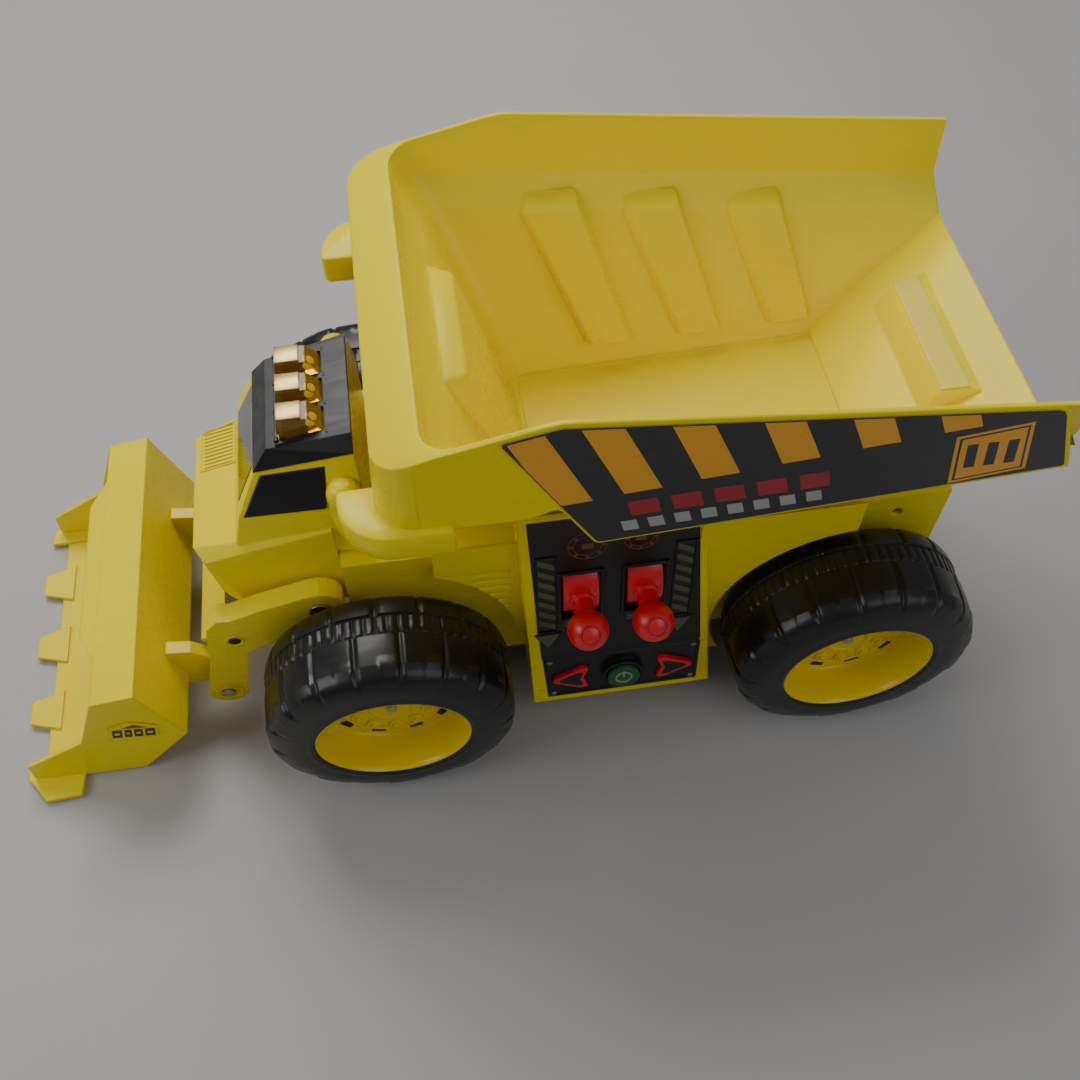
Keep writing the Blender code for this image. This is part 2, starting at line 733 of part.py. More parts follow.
DOOR_HALF_X = 0.0300
DOOR_HALF_Y = 0.0330
SCREW_RADIUS = 0.0016
SCREW_HEAD = 0.0030
SCREW_HEAD_DEPTH = 0.0018
SCREW_LENGTH = 0.0090
SCREW_SPOTS = ((0.0850, 0.0300), (0.0850, -0.0300), (-0.0700, 0.0300), (-0.0700, -0.0300))
DOOR_SCREW = (0.0, 0.0300)


def screw(name, x, y, face_z):
    """A pan head sunk in a face, below its shank."""
    low = face_z + GAP
    high = low + SCREW_HEAD_DEPTH
    ends = ((x, y, high - 0.0001), (x, y, low + SCREW_LENGTH))
    shank = cylinder(name, SCREW_RADIUS, *ends, sides=12, finish=STEEL)
    return join(shank, cylinder(name + "_head", SCREW_HEAD, (x, y, low), (x, y, high), sides=16))


def screw_holes(x, y, face_z):
    """Cutters for a screw's shank and sunk head."""
    seat_z = face_z + SCREW_HEAD_DEPTH + 2 * GAP
    shank = cylinder("screw_hole", SCREW_RADIUS + GAP, (x, y, 0.0), (x, y, 0.05), sides=12)
    seat = cylinder("screw_seat", SCREW_HEAD + GAP, (x, y, 0.0), (x, y, seat_z), sides=16)
    return [shank, seat]


def battery_pack():
    inner_x = 3 * CELL_RADIUS + 2 * GAP
    inner_y = CELL_LENGTH / 2 + GAP
    low = CHASSIS_TOP + GAP
    high = low + 2 * CELL_RADIUS + 0.0030
    outer_x = inner_x + WALL
    outer_y = inner_y + WALL
    case = box("battery_box", (-outer_x, -outer_y, low), (outer_x, outer_y, high), BLACK)
    cut(case, box("battery_room", (-inner_x, -inner_y, low - 0.01), (inner_x, inner_y, high - WALL)))
    middle_z = high - WALL - GAP - CELL_RADIUS
    for k in range(3):
        x = (k - 1) * (2 * CELL_RADIUS + GAP)
        ends = ((x, -CELL_LENGTH / 2, middle_z), (x, CELL_LENGTH / 2, middle_z))
        cylinder(f"battery_{k + 1}", CELL_RADIUS, *ends, sides=20, finish=CELL)
    door_z = CHASSIS_TOP - CHASSIS_THICK
    door = box(
        "battery_door",
        (-DOOR_HALF_X + GAP, -DOOR_HALF_Y + GAP, door_z),
        (DOOR_HALF_X - GAP, DOOR_HALF_Y - GAP, CHASSIS_TOP),
        BLACK,
    )
    cut(door, *screw_holes(*DOOR_SCREW, door_z))
    screw("battery_door_screw", *DOOR_SCREW, door_z)


def drive():
    """Motor, gearbox bracket and hinge rod, all fixed in the body."""
    cheek = 0.0020
    inner = 0.0160
    outline = rounded(
        [
            (REAR_AXLE_X - 0.0200, CHASSIS_TOP + GAP),
            (PINION_X + 0.0120, CHASSIS_TOP + GAP),
            (PINION_X + 0.0120, 0.0800),
            (REAR_AXLE_X - 0.0200, 0.0800),
        ],
        [0, 0, 0.003, 0.003],
        2,
    )
    case = prism("gearbox_case", outline, -inner - cheek, inner + cheek, BLACK)
    room = box("gear_room", (-0.2, -inner, 0.0), (0.0, inner, 0.0780))
    axle_slot = [
        (REAR_AXLE_X - AXLE_HOLE, 0.0),
        (REAR_AXLE_X + AXLE_HOLE, 0.0),
        *arc((REAR_AXLE_X, AXLE_Z), AXLE_HOLE, 0, 180, 8),
    ]
    shaft_ends = ((PINION_X, -0.03, AXLE_Z), (PINION_X, 0.03, AXLE_Z))
    cut(case, room, prism("gearbox_slot", axle_slot, -0.03, 0.03))
    cut(case, cylinder("motor_shaft_hole", 0.0025, *shaft_ends, sides=16))
    motor_y = -inner - cheek - GAP
    motor_ends = ((PINION_X, motor_y - MOTOR_LENGTH, AXLE_Z), (PINION_X, motor_y, AXLE_Z))
    cylinder("drive_motor", MOTOR_RADIUS, *motor_ends, finish=STEEL)
    rod_ends = ((BED_HINGE[0], -0.0450, BED_HINGE[1]), (BED_HINGE[0], 0.0450, BED_HINGE[1]))
    cylinder("bed_hinge_rod", BED_HINGE_ROD_RADIUS, *rod_ends, finish=STEEL)


def gear(name, teeth, pitch, bore, centre, width, turn):
    """A spur gear with straight-sided teeth, with a bore round its shaft."""
    low, high = GEAR_Y - width / 2, GEAR_Y + width / 2
    root = pitch - 1.15 * GEAR_MODULE
    tip = pitch + 0.80 * GEAR_MODULE
    step = 2 * pi / teeth
    outline = []
    for k in range(teeth):
        middle = turn + k * step
        for radius, share in ((root, -0.30), (tip, -0.11), (tip, 0.11), (root, 0.30)):
            angle = middle + share * step
            outline.append((centre[0] + radius * cos(angle), centre[1] + radius * sin(angle)))
    made = prism(name, outline, low, high, WHITE_GEAR)
    if bore:
        ends = ((centre[0], low - 0.01, centre[1]), (centre[0], high + 0.01, centre[1]))
        cut(made, cylinder(name + "_bore", bore, *ends))


def electronics():
    low, high = (0.0280, -0.0300, BOARD_Z), (0.0840, 0.0300, BOARD_Z + 0.0016)
    box("circuit_board", low, high, COPPER_BOARD)


# ---------------------------------------------------------------- console and speaker cover
CONSOLE = empty("console_face", (0, POD_FOOT_Y, POD_FOOT_Z), (POD_TILT, 0, 0), TRUCK)
COVER_SIDE = empty("cover_face", (0, -POD_FOOT_Y, POD_FOOT_Z), (-POD_TILT, 0, 0), TRUCK)
PANEL_THICK = 0.0026
LEVER_PANEL = [(-0.0425, 0.0400), (0.0385, 0.0400), (0.0430, 0.1440), (-0.0335, 0.1440)]
BUTTON_PANEL = [(-0.0430, 0.0040), (0.0355, 0.0040), (0.0380, 0.0380), (-0.0428, 0.0380)]
COVER = [BUTTON_PANEL[0], BUTTON_PANEL[1], LEVER_PANEL[2], LEVER_PANEL[3]]
LEVER_SLOT_HALF = 0.0165


def grown(outline, by):
    """The outline moved outwards from its middle along both axes."""
    middle_x = sum(x for x, z in outline) / len(outline)
    middle_z = sum(z for x, z in outline) / len(outline)
    return [(x + (by if x > middle_x else -by), z + (by if z > middle_z else -by)) for x, z in outline]


def console_recesses():
    """Pockets in the pods for the panels, with deep rooms behind the levers and buttons."""
    pockets = []
    for face, sign, tag in ((CONSOLE, 1, "l"), (COVER_SIDE, -1, "r")):
        low, high = sorted((sign * 0.01, -sign * (PANEL_THICK + GAP)))
        outlines = [("lever", LEVER_PANEL), ("button", BUTTON_PANEL)] if sign > 0 else [("cover", COVER)]
        for name, outline in outlines:
            pockets.append(prism(f"{name}_pocket_{tag}", grown(outline, GAP), low, high, parent=face))
        low, high = sorted((0.0, -sign * 0.0420))
        room = [(-0.0340, 0.0440), (0.0340, 0.0440), (0.0340, 0.1250), (-0.0300, 0.1250)]
        pockets.append(prism(f"lever_room_{tag}", room, low, high, parent=face))
        low, high = sorted((0.0, -sign * 0.0140))
        room = [(-0.0412, 0.0080), (0.0346, 0.0080), (0.0350, 0.0350), (-0.0412, 0.0350)]
        pockets.append(prism(f"button_room_{tag}", room, low, high, parent=face))
    return pockets


BEARINGS = ((-0.0245, -0.0215), (0.0020, 0.0055), (0.0290, 0.0320))
LEVER_ROD_RADIUS = 0.0015


def lever_rod(name, radius, finish=None):
    ends = [(x, -LEVER_PIVOT_DEPTH, LEVER_HEIGHT) for x in (BEARINGS[0][0], BEARINGS[-1][1])]
    return cylinder(name, radius, *ends, sides=16, finish=finish, parent=CONSOLE)


def arrow_outline(x, pointing, grow=0.0):
    """A rounded arrow head for a button, pointing along X."""
    half = ARROW_WIDTH / 2 + grow
    tip = x + pointing * (ARROW_LENGTH / 2 + grow)
    tail = x - pointing * (ARROW_LENGTH / 2 + grow)
    corners = [
        (tail, BUTTON_HEIGHT - half),
        (tail + pointing * 0.004, BUTTON_HEIGHT),
        (tail, BUTTON_HEIGHT + half),
        (tail + pointing * 0.005, BUTTON_HEIGHT + half),
        (tip, BUTTON_HEIGHT + 0.0015),
        (tip, BUTTON_HEIGHT - 0.0015),
        (tail + pointing * 0.005, BUTTON_HEIGHT - half),
    ]
    return corners


def console():
    lever_panel = prism("lever_panel", LEVER_PANEL, -PANEL_THICK, 0.0, BLACK, CONSOLE)
    for i, x in enumerate(LEVER_X):
        half = LEVER_WIDTH / 2 + RUNNING_GAP
        slot = [
            (x - half, LEVER_HEIGHT - LEVER_SLOT_HALF),
            (x + half, LEVER_HEIGHT - LEVER_SLOT_HALF),
            (x + half, LEVER_HEIGHT + LEVER_SLOT_HALF),
            (x - half, LEVER_HEIGHT + LEVER_SLOT_HALF),
        ]
        cut(lever_panel, prism(f"lever_slot_{i}", slot, -0.01, 0.01, parent=CONSOLE))
    cheeks = []
    for low, high in BEARINGS:
        near = (low, -LEVER_PIVOT_DEPTH - 0.0040, LEVER_HEIGHT - 0.0040)
        far = (high, -PANEL_THICK + 0.0008, LEVER_HEIGHT + 0.0040)
        cheeks.append(box(f"bearing_{low:.4f}", near, far, parent=CONSOLE))
    join(lever_panel, *cheeks)
    room = lever_rod("rod_room", LEVER_ROD_RADIUS + GAP)
    room.scale = (1.05, 1, 1)
    cut(lever_panel, room)
    lever_rod("lever_rod", LEVER_ROD_RADIUS, STEEL)
    button_panel = prism("button_panel", BUTTON_PANEL, -PANEL_THICK, 0.0, BLACK, CONSOLE)
    ring_ends = ((POWER_X, -0.001, BUTTON_HEIGHT), (POWER_X, 0.0032, BUTTON_HEIGHT))
    join(button_panel, cylinder("power_ring", POWER_RADIUS + 0.0022, *ring_ends, parent=CONSOLE))
    bore_ends = ((POWER_X, -0.01, BUTTON_HEIGHT), (POWER_X, 0.01, BUTTON_HEIGHT))
    holes = [cylinder("power_bore", POWER_RADIUS + RUNNING_GAP / 2, *bore_ends, parent=CONSOLE)]
    for name, sign in (("forward", 1), ("reverse", -1)):
        outline = arrow_outline(POWER_X + sign * ARROW_X, sign, RUNNING_GAP / 2)
        holes.append(prism(f"{name}_hole", outline, -0.01, 0.01, parent=CONSOLE))
    cut(button_panel, *holes)


def buttons():
    inner = -PANEL_THICK - 0.0030
    ends = ((POWER_X, inner, BUTTON_HEIGHT), (POWER_X, 0.0048, BUTTON_HEIGHT))
    cylinder("power_button", POWER_RADIUS, *ends, finish=GREEN, parent=CONSOLE)
    for name, sign in (("forward", 1), ("reverse", -1)):
        outline = arrow_outline(POWER_X + sign * ARROW_X, sign)
        prism(f"{name}_button", outline, inner, 0.0022, RED, CONSOLE)


def levers():
    """Each lever turns on its own axis behind the face: a curved shield, a stalk and a ball knob."""
    for name, x in zip(("lever_front", "lever_rear"), LEVER_X):
        axis = empty(f"{name}_axis", (x, -LEVER_PIVOT_DEPTH, LEVER_HEIGHT), parent=CONSOLE)
        half = LEVER_WIDTH / 2
        shape = bmesh.new()
        shield = arc((0.0, 0.0), LEVER_DRUM_RADIUS, -64, 64, 10)
        hub = arc((0.0, 0.0), 0.0060, 116, 244, 6)
        for a, b in (*shield, *hub):
            shape.verts.new((-half, a, b))
            shape.verts.new((half, a, b))
        bmesh.ops.convex_hull(shape, input=shape.verts)
        lever = add_object(name, mesh_from(name, shape), RED, axis)
        reach = LEVER_PIVOT_DEPTH + KNOB_REACH
        stalk_ends = ((0, LEVER_DRUM_RADIUS - 0.004, 0), (0, reach, 0))
        cap_ends = ((0, reach, 0), (0, reach + KNOB_RADIUS + 0.0002, 0))
        stalk = cylinder(f"{name}_stalk", 0.0048, *stalk_ends, sides=12, parent=axis)
        knob = sphere(f"{name}_knob", KNOB_RADIUS, (0, reach, 0), rings=8, parent=axis)
        cap = cylinder(f"{name}_cap", 0.0048, *cap_ends, sides=12, parent=axis)
        join(lever, stalk, knob, cap)
        bore_ends = ((-0.02, 0, 0), (0.02, 0, 0))
        cut(lever, cylinder(f"{name}_bore", LEVER_ROD_RADIUS + GAP, *bore_ends, sides=16, parent=axis))


def right_cover():
    """The right pod carries a slotted speaker cover instead of the console."""
    cover = prism("speaker_cover", COVER, 0.0, PANEL_THICK, BLACK, COVER_SIDE)
    slots = []
    for k in range(7):
        z = 0.0500 + k * 0.0070
        half = sqrt(max(SPEAKER_RADIUS**2 - (z - 0.0710) ** 2, 1e-5))
        corners = ((-half, -0.01, z - 0.0015), (half, 0.01, z + 0.0015))
        slots.append(box(f"speaker_slot_{k}", *corners, parent=COVER_SIDE))
    cut(cover, *slots)
    cylinder(
        "speaker",
        SPEAKER_RADIUS,
        (0, PANEL_THICK + GAP, 0.0710),
        (0, PANEL_THICK + 0.0120, 0.0710),
        sides=28,
        finish=STEEL,
        parent=COVER_SIDE,
        radius_end=0.0110,
    )


# ---------------------------------------------------------------- cab
DOME_RADIUS = 0.0079


def cab_side(x, z):
    """Half width of the slanted cab side above the hood."""
    return ROOF_REAR[1] - 0.2598 * (x - ROOF_REAR[0]) - 0.4601 * (z - ROOF_REAR[2])


def on_cab(x, z, out=0.0):
    return (x, cab_side(x, z) + out, z)


def cab_lower():
    rear = BODY_FRONT + 2 * GAP
    return [
        (HOOD_FRONT, 0.0327, HOOD_TOP),
        (HOOD_FRONT - 0.0045, 0.0400, 0.1224),
        (HOOD_FRONT - 0.0070, 0.0370, 0.0900),
        (0.1760, 0.0430, 0.0860),
        (0.1440, 0.0452, 0.0860),
        (rear, CAB_HALF, 0.0880),
        (rear, CAB_HALF, 0.1440),
        (0.1740, 0.0385, 0.1300),
    ]


def cab_upper():
    low = BODY_TOP + 2 * GAP
    return [
        (0.1110, CAB_HALF, low),
        (0.1110, 0.0460, 0.1560),
        (0.1740, 0.0390, low),
        (0.1745, 0.0370, 0.1290),
        on_cab(0.1690, 0.1487),
        ROOF_REAR,
        ROOF_FRONT,
    ]


def shrunk(points, wall, low):
    """The inside of a cab hull, open at its lower side."""
    middle_x = (max(p[0] for p in points) + min(p[0] for p in points)) / 2
    inside = []
    for x, y, z in points:
        inner_x = x - wall if x > middle_x else x + wall
        inside.append((inner_x, y - wall, min(z - wall, 0.2)))
        inside.append((inner_x, y - wall, low))
    return inside


def window_plate(corners, inward, grow):
    """A plate set flush in a slanted face: its corners and the same corners moved inward."""
    middle = sum((Vector(c) for c in corners), Vector()) / len(corners)
    points = []
    for corner in corners:
        away = (Vector(corner) - middle).normalized() * grow
        outer = Vector(corner) + away
        points.append(tuple(outer))
        points.append(tuple(outer + inward))
    return points


def cab():
    shell = hull("cab_shell", mirrored(cab_lower()), YELLOW)
    join(shell, hull("cabin", mirrored(cab_upper())))
    domes = []
    for side in (-1, 1):
        tag = "l" if side > 0 else "r"
        foot, top = (0.1195, side * 0.0400, 0.1400), (0.1195, side * 0.0430, 0.1665)
        post = cylinder(f"cab_post_{tag}", DOME_RADIUS, foot, top, sides=20)
        dome = sphere(f"cab_dome_{tag}", DOME_RADIUS + 0.0001, top, rings=8)
        domes += [post, dome]
    join(shell, *domes)
    low = 0.06
    for side in (-1, 1):
        ends = [(ARM_PIVOT[0], side * y, ARM_PIVOT[1]) for y in (0.030, 0.060)]
        cut(shell, cylinder(f"arm_pin_bore_{side}", PIN_RADIUS + GAP, *ends, sides=20))
    cut(shell, hull("cab_inside", mirrored(shrunk(cab_lower(), WALL, low))))
    cut(shell, hull("cabin_inside", mirrored(shrunk(cab_upper(), WALL, low))))
    thick = 0.0014
    side_corners = [
        on_cab(0.1290, 0.1575),
        on_cab(0.1660, 0.1500),
        on_cab(0.1545, 0.1700),
        on_cab(0.1262, 0.1765),
    ]
    for side, tag in ((1, "left"), (-1, "right")):
        corners = [(x, side * y, z) for x, y, z in side_corners]
        normal = Vector((0.2598, side * 1.0, 0.4601)).normalized()
        raised = [tuple(Vector(c) + normal * 0.0002) for c in corners]
        hull(f"side_window_{tag}", window_plate(raised, -normal * thick, 0.0), GLASS_BLACK)
        high = [tuple(Vector(c) + normal * 0.005) for c in corners]
        pocket = window_plate(high, -normal * (0.005 + thick + GAP), GAP * 1.5)
        cut(shell, hull(f"side_window_pocket_{tag}", pocket))
    front = []
    slope = (0.1690 - ROOF_FRONT[0]) / (ROOF_FRONT[2] - 0.1487)
    for half, z in ((0.0265, 0.1490), (0.0235, 0.1690)):
        x = ROOF_FRONT[0] + (ROOF_FRONT[2] - z) * slope
        front += [(x, half, z), (x, -half, z)]
    pane = []
    pocket = []
    for x, y, z in front:
        pane += [(x + 0.0002, y, z), (x - thick, y, z - 0.0004)]
        grow = 1 + GAP * 2 / abs(y)
        lift = GAP * 1.5 if z > 0.16 else -GAP * 1.5
        pocket += [(x + 0.004, y * grow, z + lift), (x - thick - GAP, y * grow, z + lift - 0.0004)]
    hull("windshield", pane, GLASS_BLACK)
    cut(shell, hull("windshield_pocket", pocket))
    return shell


def roof_and_beacons():
    lift = 0.0004
    outline = [
        (ROOF_REAR[0], ROOF_REAR[1] + 0.0005, ROOF_REAR[2] + lift),
        (ROOF_FRONT[0] + 0.0005, ROOF_FRONT[1] + 0.0005, ROOF_FRONT[2] + lift),
        (ROOF_REAR[0], 0.0285, ROOF_REAR[2] + lift + 0.0055),
        (0.1500, 0.0262, 0.1825),
        (0.1230, 0.0272, 0.1868),
    ]
    roof = hull("cab_roof", mirrored(outline), BLACK)
    frame = [
        (0.1215, 0.0255, 0.1868),
        (0.1455, 0.0265, 0.1850),
        (0.1215, 0.0255, 0.1840),
        (0.1455, 0.0265, 0.1775),
    ]
    join(roof, hull("lamp_frame", mirrored(frame)))
    for k in range(3):
        y = (k - 1) * 0.0165
        pocket = []
        for x, z in ((0.1242 - GAP, 0.1840), (0.1440 + GAP, 0.1815)):
            for side in (-1, 1):
                pocket.append((x, y + side * 0.0066, z))
                pocket.append((x, y + side * 0.0066, z + 0.01))
        cut(roof, hull(f"lens_pocket_{k}", pocket))
        lens = []
        for side in (-1, 1):
            lens += [
                (0.1242, y + side * 0.0061, 0.1840 + GAP),
                (0.1440, y + side * 0.0063, 0.1815 + GAP),
                (0.1250, y + side * 0.0050, 0.1885),
                (0.1300, y + side * 0.0052, 0.1935),
                (0.1432, y + side * 0.0052, 0.1945),
                (0.1442, y + side * 0.0060, 0.1885),
            ]
        hull(f"beacon_lens_{k + 1}", lens, AMBER)
    return roof


# ---------------------------------------------------------------- front loader
LOADER = empty("loader_axis", (ARM_PIVOT[0], 0, ARM_PIVOT[1]), parent=TRUCK)
REACH = Vector((BUCKET_PIVOT[0] - ARM_PIVOT[0], 0, BUCKET_PIVOT[1] - ARM_PIVOT[1]))
BUCKET = empty("bucket_axis", REACH, parent=LOADER)
BOSS_RADIUS = 0.0100
EAR_THICK = 0.0070
EAR_IN = ARM_IN - 2 * RUNNING_GAP - EAR_THICK      # inner face of the bucket's ears


def swept(points):
    """Loader points measured from the arm pivot."""
    return [(x - ARM_PIVOT[0], z - ARM_PIVOT[1]) for x, z in points]


def arms():
    depth = ARM_HALF_DEPTH
    for side, tag in ((1, "left"), (-1, "right")):
        low, high = sorted((side * ARM_IN, side * ARM_OUT))
        outline = [
            *arc(ARM_PIVOT, depth, 75, 250, 8),
            (ARM_ELBOW[0] - 0.0080, ARM_ELBOW[1] - depth - 0.0015),
            (ARM_ELBOW[0] - 0.0015, ARM_ELBOW[1] - depth - 0.0060),
            *arc(BUCKET_PIVOT, BOSS_RADIUS, 190, 370, 10),
            (ARM_ELBOW[0] + 0.0172, ARM_ELBOW[1] - 0.0190),
            (ARM_ELBOW[0] + 0.0168, ARM_ELBOW[1] - 0.0090),
            (ARM_ELBOW[0] + 0.0130, ARM_ELBOW[1] + 0.0080),
            (ARM_ELBOW[0] + 0.0065, ARM_ELBOW[1] + 0.0150),
            (ARM_ELBOW[0] + 0.0010, ARM_ELBOW[1] + 0.0140),
            (ARM_ELBOW[0] - 0.0150, ARM_ELBOW[1] + 0.0200),
        ]
        arm = prism(f"loader_arm_{tag}", swept(outline), low, high, YELLOW, LOADER)
        holes = []
        for name, spot in (("pivot", ARM_PIVOT), ("bucket", BUCKET_PIVOT)):
            (x, z), = swept([spot])
            ends = ((x, low - 0.01, z), (x, high + 0.01, z))
            holes.append(cylinder(f"{name}_hole_{tag}", PIN_RADIUS + GAP, *ends, sides=20, parent=LOADER))
        cut(arm, *holes)
        outer = side * (ARM_OUT + GAP)
        ends = ((0, side * 0.0400, 0), (0, outer + side * 0.0006, 0))
        pin = cylinder(f"arm_pin_{tag}", PIN_RADIUS, *ends, sides=20, finish=STEEL, parent=LOADER)
        ends = ((0, outer, 0), (0, outer + side * 0.0012, 0))
        join(pin, cylinder(f"arm_pin_head_{tag}", PIN_RADIUS + 0.0016, *ends, sides=20, parent=LOADER))


def cross_plate():
    """The plate between the arms, notched at its ends where the bucket's ears pass it."""
    width = ARM_IN - GAP
    side_view = [(0.1965, 0.0525), (0.2090, 0.0495), (0.2096, 0.0525), (0.1970, 0.0558)]
    plate = prism("loader_cross_plate", swept(side_view), -width, width, YELLOW, LOADER)
    notch = swept([(0.2008, 0.0400), (0.2150, 0.0400), (0.2150, 0.0650), (0.2008, 0.0650)])
    for side in (-1, 1):
        low, high = sorted((side * (EAR_IN - RUNNING_GAP), side * (ARM_IN + 0.0100)))
        cut(plate, prism(f"ear_notch_{side}", notch, low, high, parent=LOADER))


def bucket_points(points):
    return [(x - BUCKET_PIVOT[0], z - BUCKET_PIVOT[1]) for x, z in points]


BUCKET_BACK = (0.2206, 0.0330)
BUCKET_TOP = (0.2349, 0.0774)
BUCKET_LIP = (0.2560, 0.0745)
BUCKET_HEEL = (0.2500, BUCKET_FLOOR_Z)
BUCKET_EDGE = 0.3020


def bucket():
    """A C-shaped scoop, closed by side plates, with a toothed cutting edge and two rear brackets."""
    wall = BUCKET_WALL
    outer = [
        (BUCKET_EDGE, BUCKET_FLOOR_Z),
        (BUCKET_EDGE, BUCKET_FLOOR_Z + 0.0010),
        (BUCKET_HEEL[0] + 0.006, BUCKET_FLOOR_Z + wall),
        (BUCKET_BACK[0] + wall + 0.002, BUCKET_BACK[1]),
        (BUCKET_TOP[0] + wall, BUCKET_TOP[1] - wall),
        (BUCKET_LIP[0], BUCKET_LIP[1] - wall),
        BUCKET_LIP,
        BUCKET_TOP,
        BUCKET_BACK,
        BUCKET_HEEL,
    ]
    scoop = prism("bucket", bucket_points(outer), -BUCKET_HALF + 0.001, BUCKET_HALF - 0.001, YELLOW, BUCKET)
    side_outline = [
        BUCKET_TOP,
        BUCKET_BACK,
        BUCKET_HEEL,
        (0.2870, BUCKET_FLOOR_Z),
        (0.3060, BUCKET_FLOOR_Z + 0.004),
        (0.3050, 0.0180),
        (0.2720, 0.0370),
        (0.2560, 0.0745),
    ]
    pieces = []
    for side in (-1, 1):
        tag = "l" if side > 0 else "r"
        low, high = sorted((side * (BUCKET_HALF - wall), side * BUCKET_HALF))
        pieces.append(prism(f"bucket_side_{tag}", bucket_points(side_outline), low, high, parent=BUCKET))
        foot = [
            (0.2810, 0.0790),
            (0.2820, 0.0920),
            (0.3000, 0.0930),
            (0.3100, 0.0790),
            (0.3110, 0.0700),
            (0.2900, 0.0700),
        ]
        points = []
        for x, y in foot:
            for z in (BUCKET_FLOOR_Z + 0.0001, BUCKET_FLOOR_Z + 0.0025):
                points.append((x - BUCKET_PIVOT[0], side * y, z - BUCKET_PIVOT[1]))
        pieces.append(hull(f"bucket_foot_{tag}", points, parent=BUCKET))
        low, high = sorted((side * EAR_IN, side * (EAR_IN + EAR_THICK)))
        ear = [
            *arc(BUCKET_PIVOT, BOSS_RADIUS - 0.0015, 100, 270, 8),
            (BUCKET_BACK[0] + 0.004, 0.0240),
            (BUCKET_BACK[0] + 0.006, 0.0560),
            (BUCKET_BACK[0] - 0.006, 0.0540),
        ]
        pieces.append(prism(f"bucket_ear_{tag}", bucket_points(ear), low, high, parent=BUCKET))
    for k in (-1, 0, 1):
        y = k * 0.0410
        points = []
        for x, half in ((0.2960, 0.0115), (BUCKET_TOOTH_TIP, 0.0065)):
            for side in (-1, 1):
                for z in (BUCKET_FLOOR_Z + 0.0003, BUCKET_FLOOR_Z + 0.0027):
                    points.append((x - BUCKET_PIVOT[0], y + side * half, z - BUCKET_PIVOT[1]))
        pieces.append(hull(f"bucket_tooth_{k + 1}", points, parent=BUCKET))
    bulge = []
    fall = (BUCKET_TOP[1] - BUCKET_LIP[1]) / (BUCKET_LIP[0] - BUCKET_TOP[0])
    for x, y in ((0.2460, 0.0560), (0.2555, 0.0560), (0.2640, 0.0400)):
        top = BUCKET_LIP[1] - 0.0002 - (x - BUCKET_LIP[0]) * fall
        for side in (-1, 1):
            for z in (top - wall + 0.0004, top):
                bulge.append((x - BUCKET_PIVOT[0], side * y, z - BUCKET_PIVOT[1]))
    pieces.append(hull("bucket_lip_bulge", bulge, parent=BUCKET))
    join(scoop, *pieces)
    bore_ends = ((0, -0.09, 0), (0, 0.09, 0))
    cut(scoop, cylinder("bucket_pin_bore", PIN_RADIUS + GAP, *bore_ends, sides=20, parent=BUCKET))
    for side, tag in ((1, "left"), (-1, "right")):
        start = side * (EAR_IN - 0.0010)
        end = side * (ARM_OUT + 0.0010)
        ends = ((0, start, 0), (0, end, 0))
        cylinder(f"bucket_pin_{tag}", PIN_RADIUS, *ends, sides=20, finish=STEEL, parent=BUCKET)
        low, high = sorted((side * (BUCKET_HALF + GAP), side * (BUCKET_HALF + GAP + 0.0003)))
        label = [(0.2574, 0.0354), (0.2550, 0.0500), (0.2440, 0.0545), (0.2318, 0.0475), (0.2338, 0.0362)]
        prism(f"bucket_label_{tag}", bucket_points(label), low, high, DECAL, BUCKET)


# ---------------------------------------------------------------- wheels
def tyre_profile(width):
    """Cross-section of a tyre as (radius, y), with its outer face at y = 0."""
    bead = RIM_RADIUS + 0.0012
    tread = TYRE_RADIUS - 0.0030
    return [
        (bead, 0.0),
        (bead, -width),
        (TYRE_RADIUS - 0.0090, -width),
        (tread, -width + 0.0070),
        (tread, -0.0070),
        (TYRE_RADIUS - 0.0090, 0.0),
    ]


def lug_outline():
    """The scalloped ring of shoulder lugs, with one lug at the very bottom."""
    step = 2 * pi / LUGS
    valley = TYRE_RADIUS - 0.0030
    crown = TYRE_RADIUS / cos(0.34 * step)
    outline = []
    for k in range(LUGS):
        middle = -pi / 2 + k * step
        for radius, share in ((valley, -0.40), (crown, -0.34), (crown, 0.34), (valley, 0.40)):
            angle = middle + share * step
            outline.append((radius * cos(angle), radius * sin(angle)))
    return outline


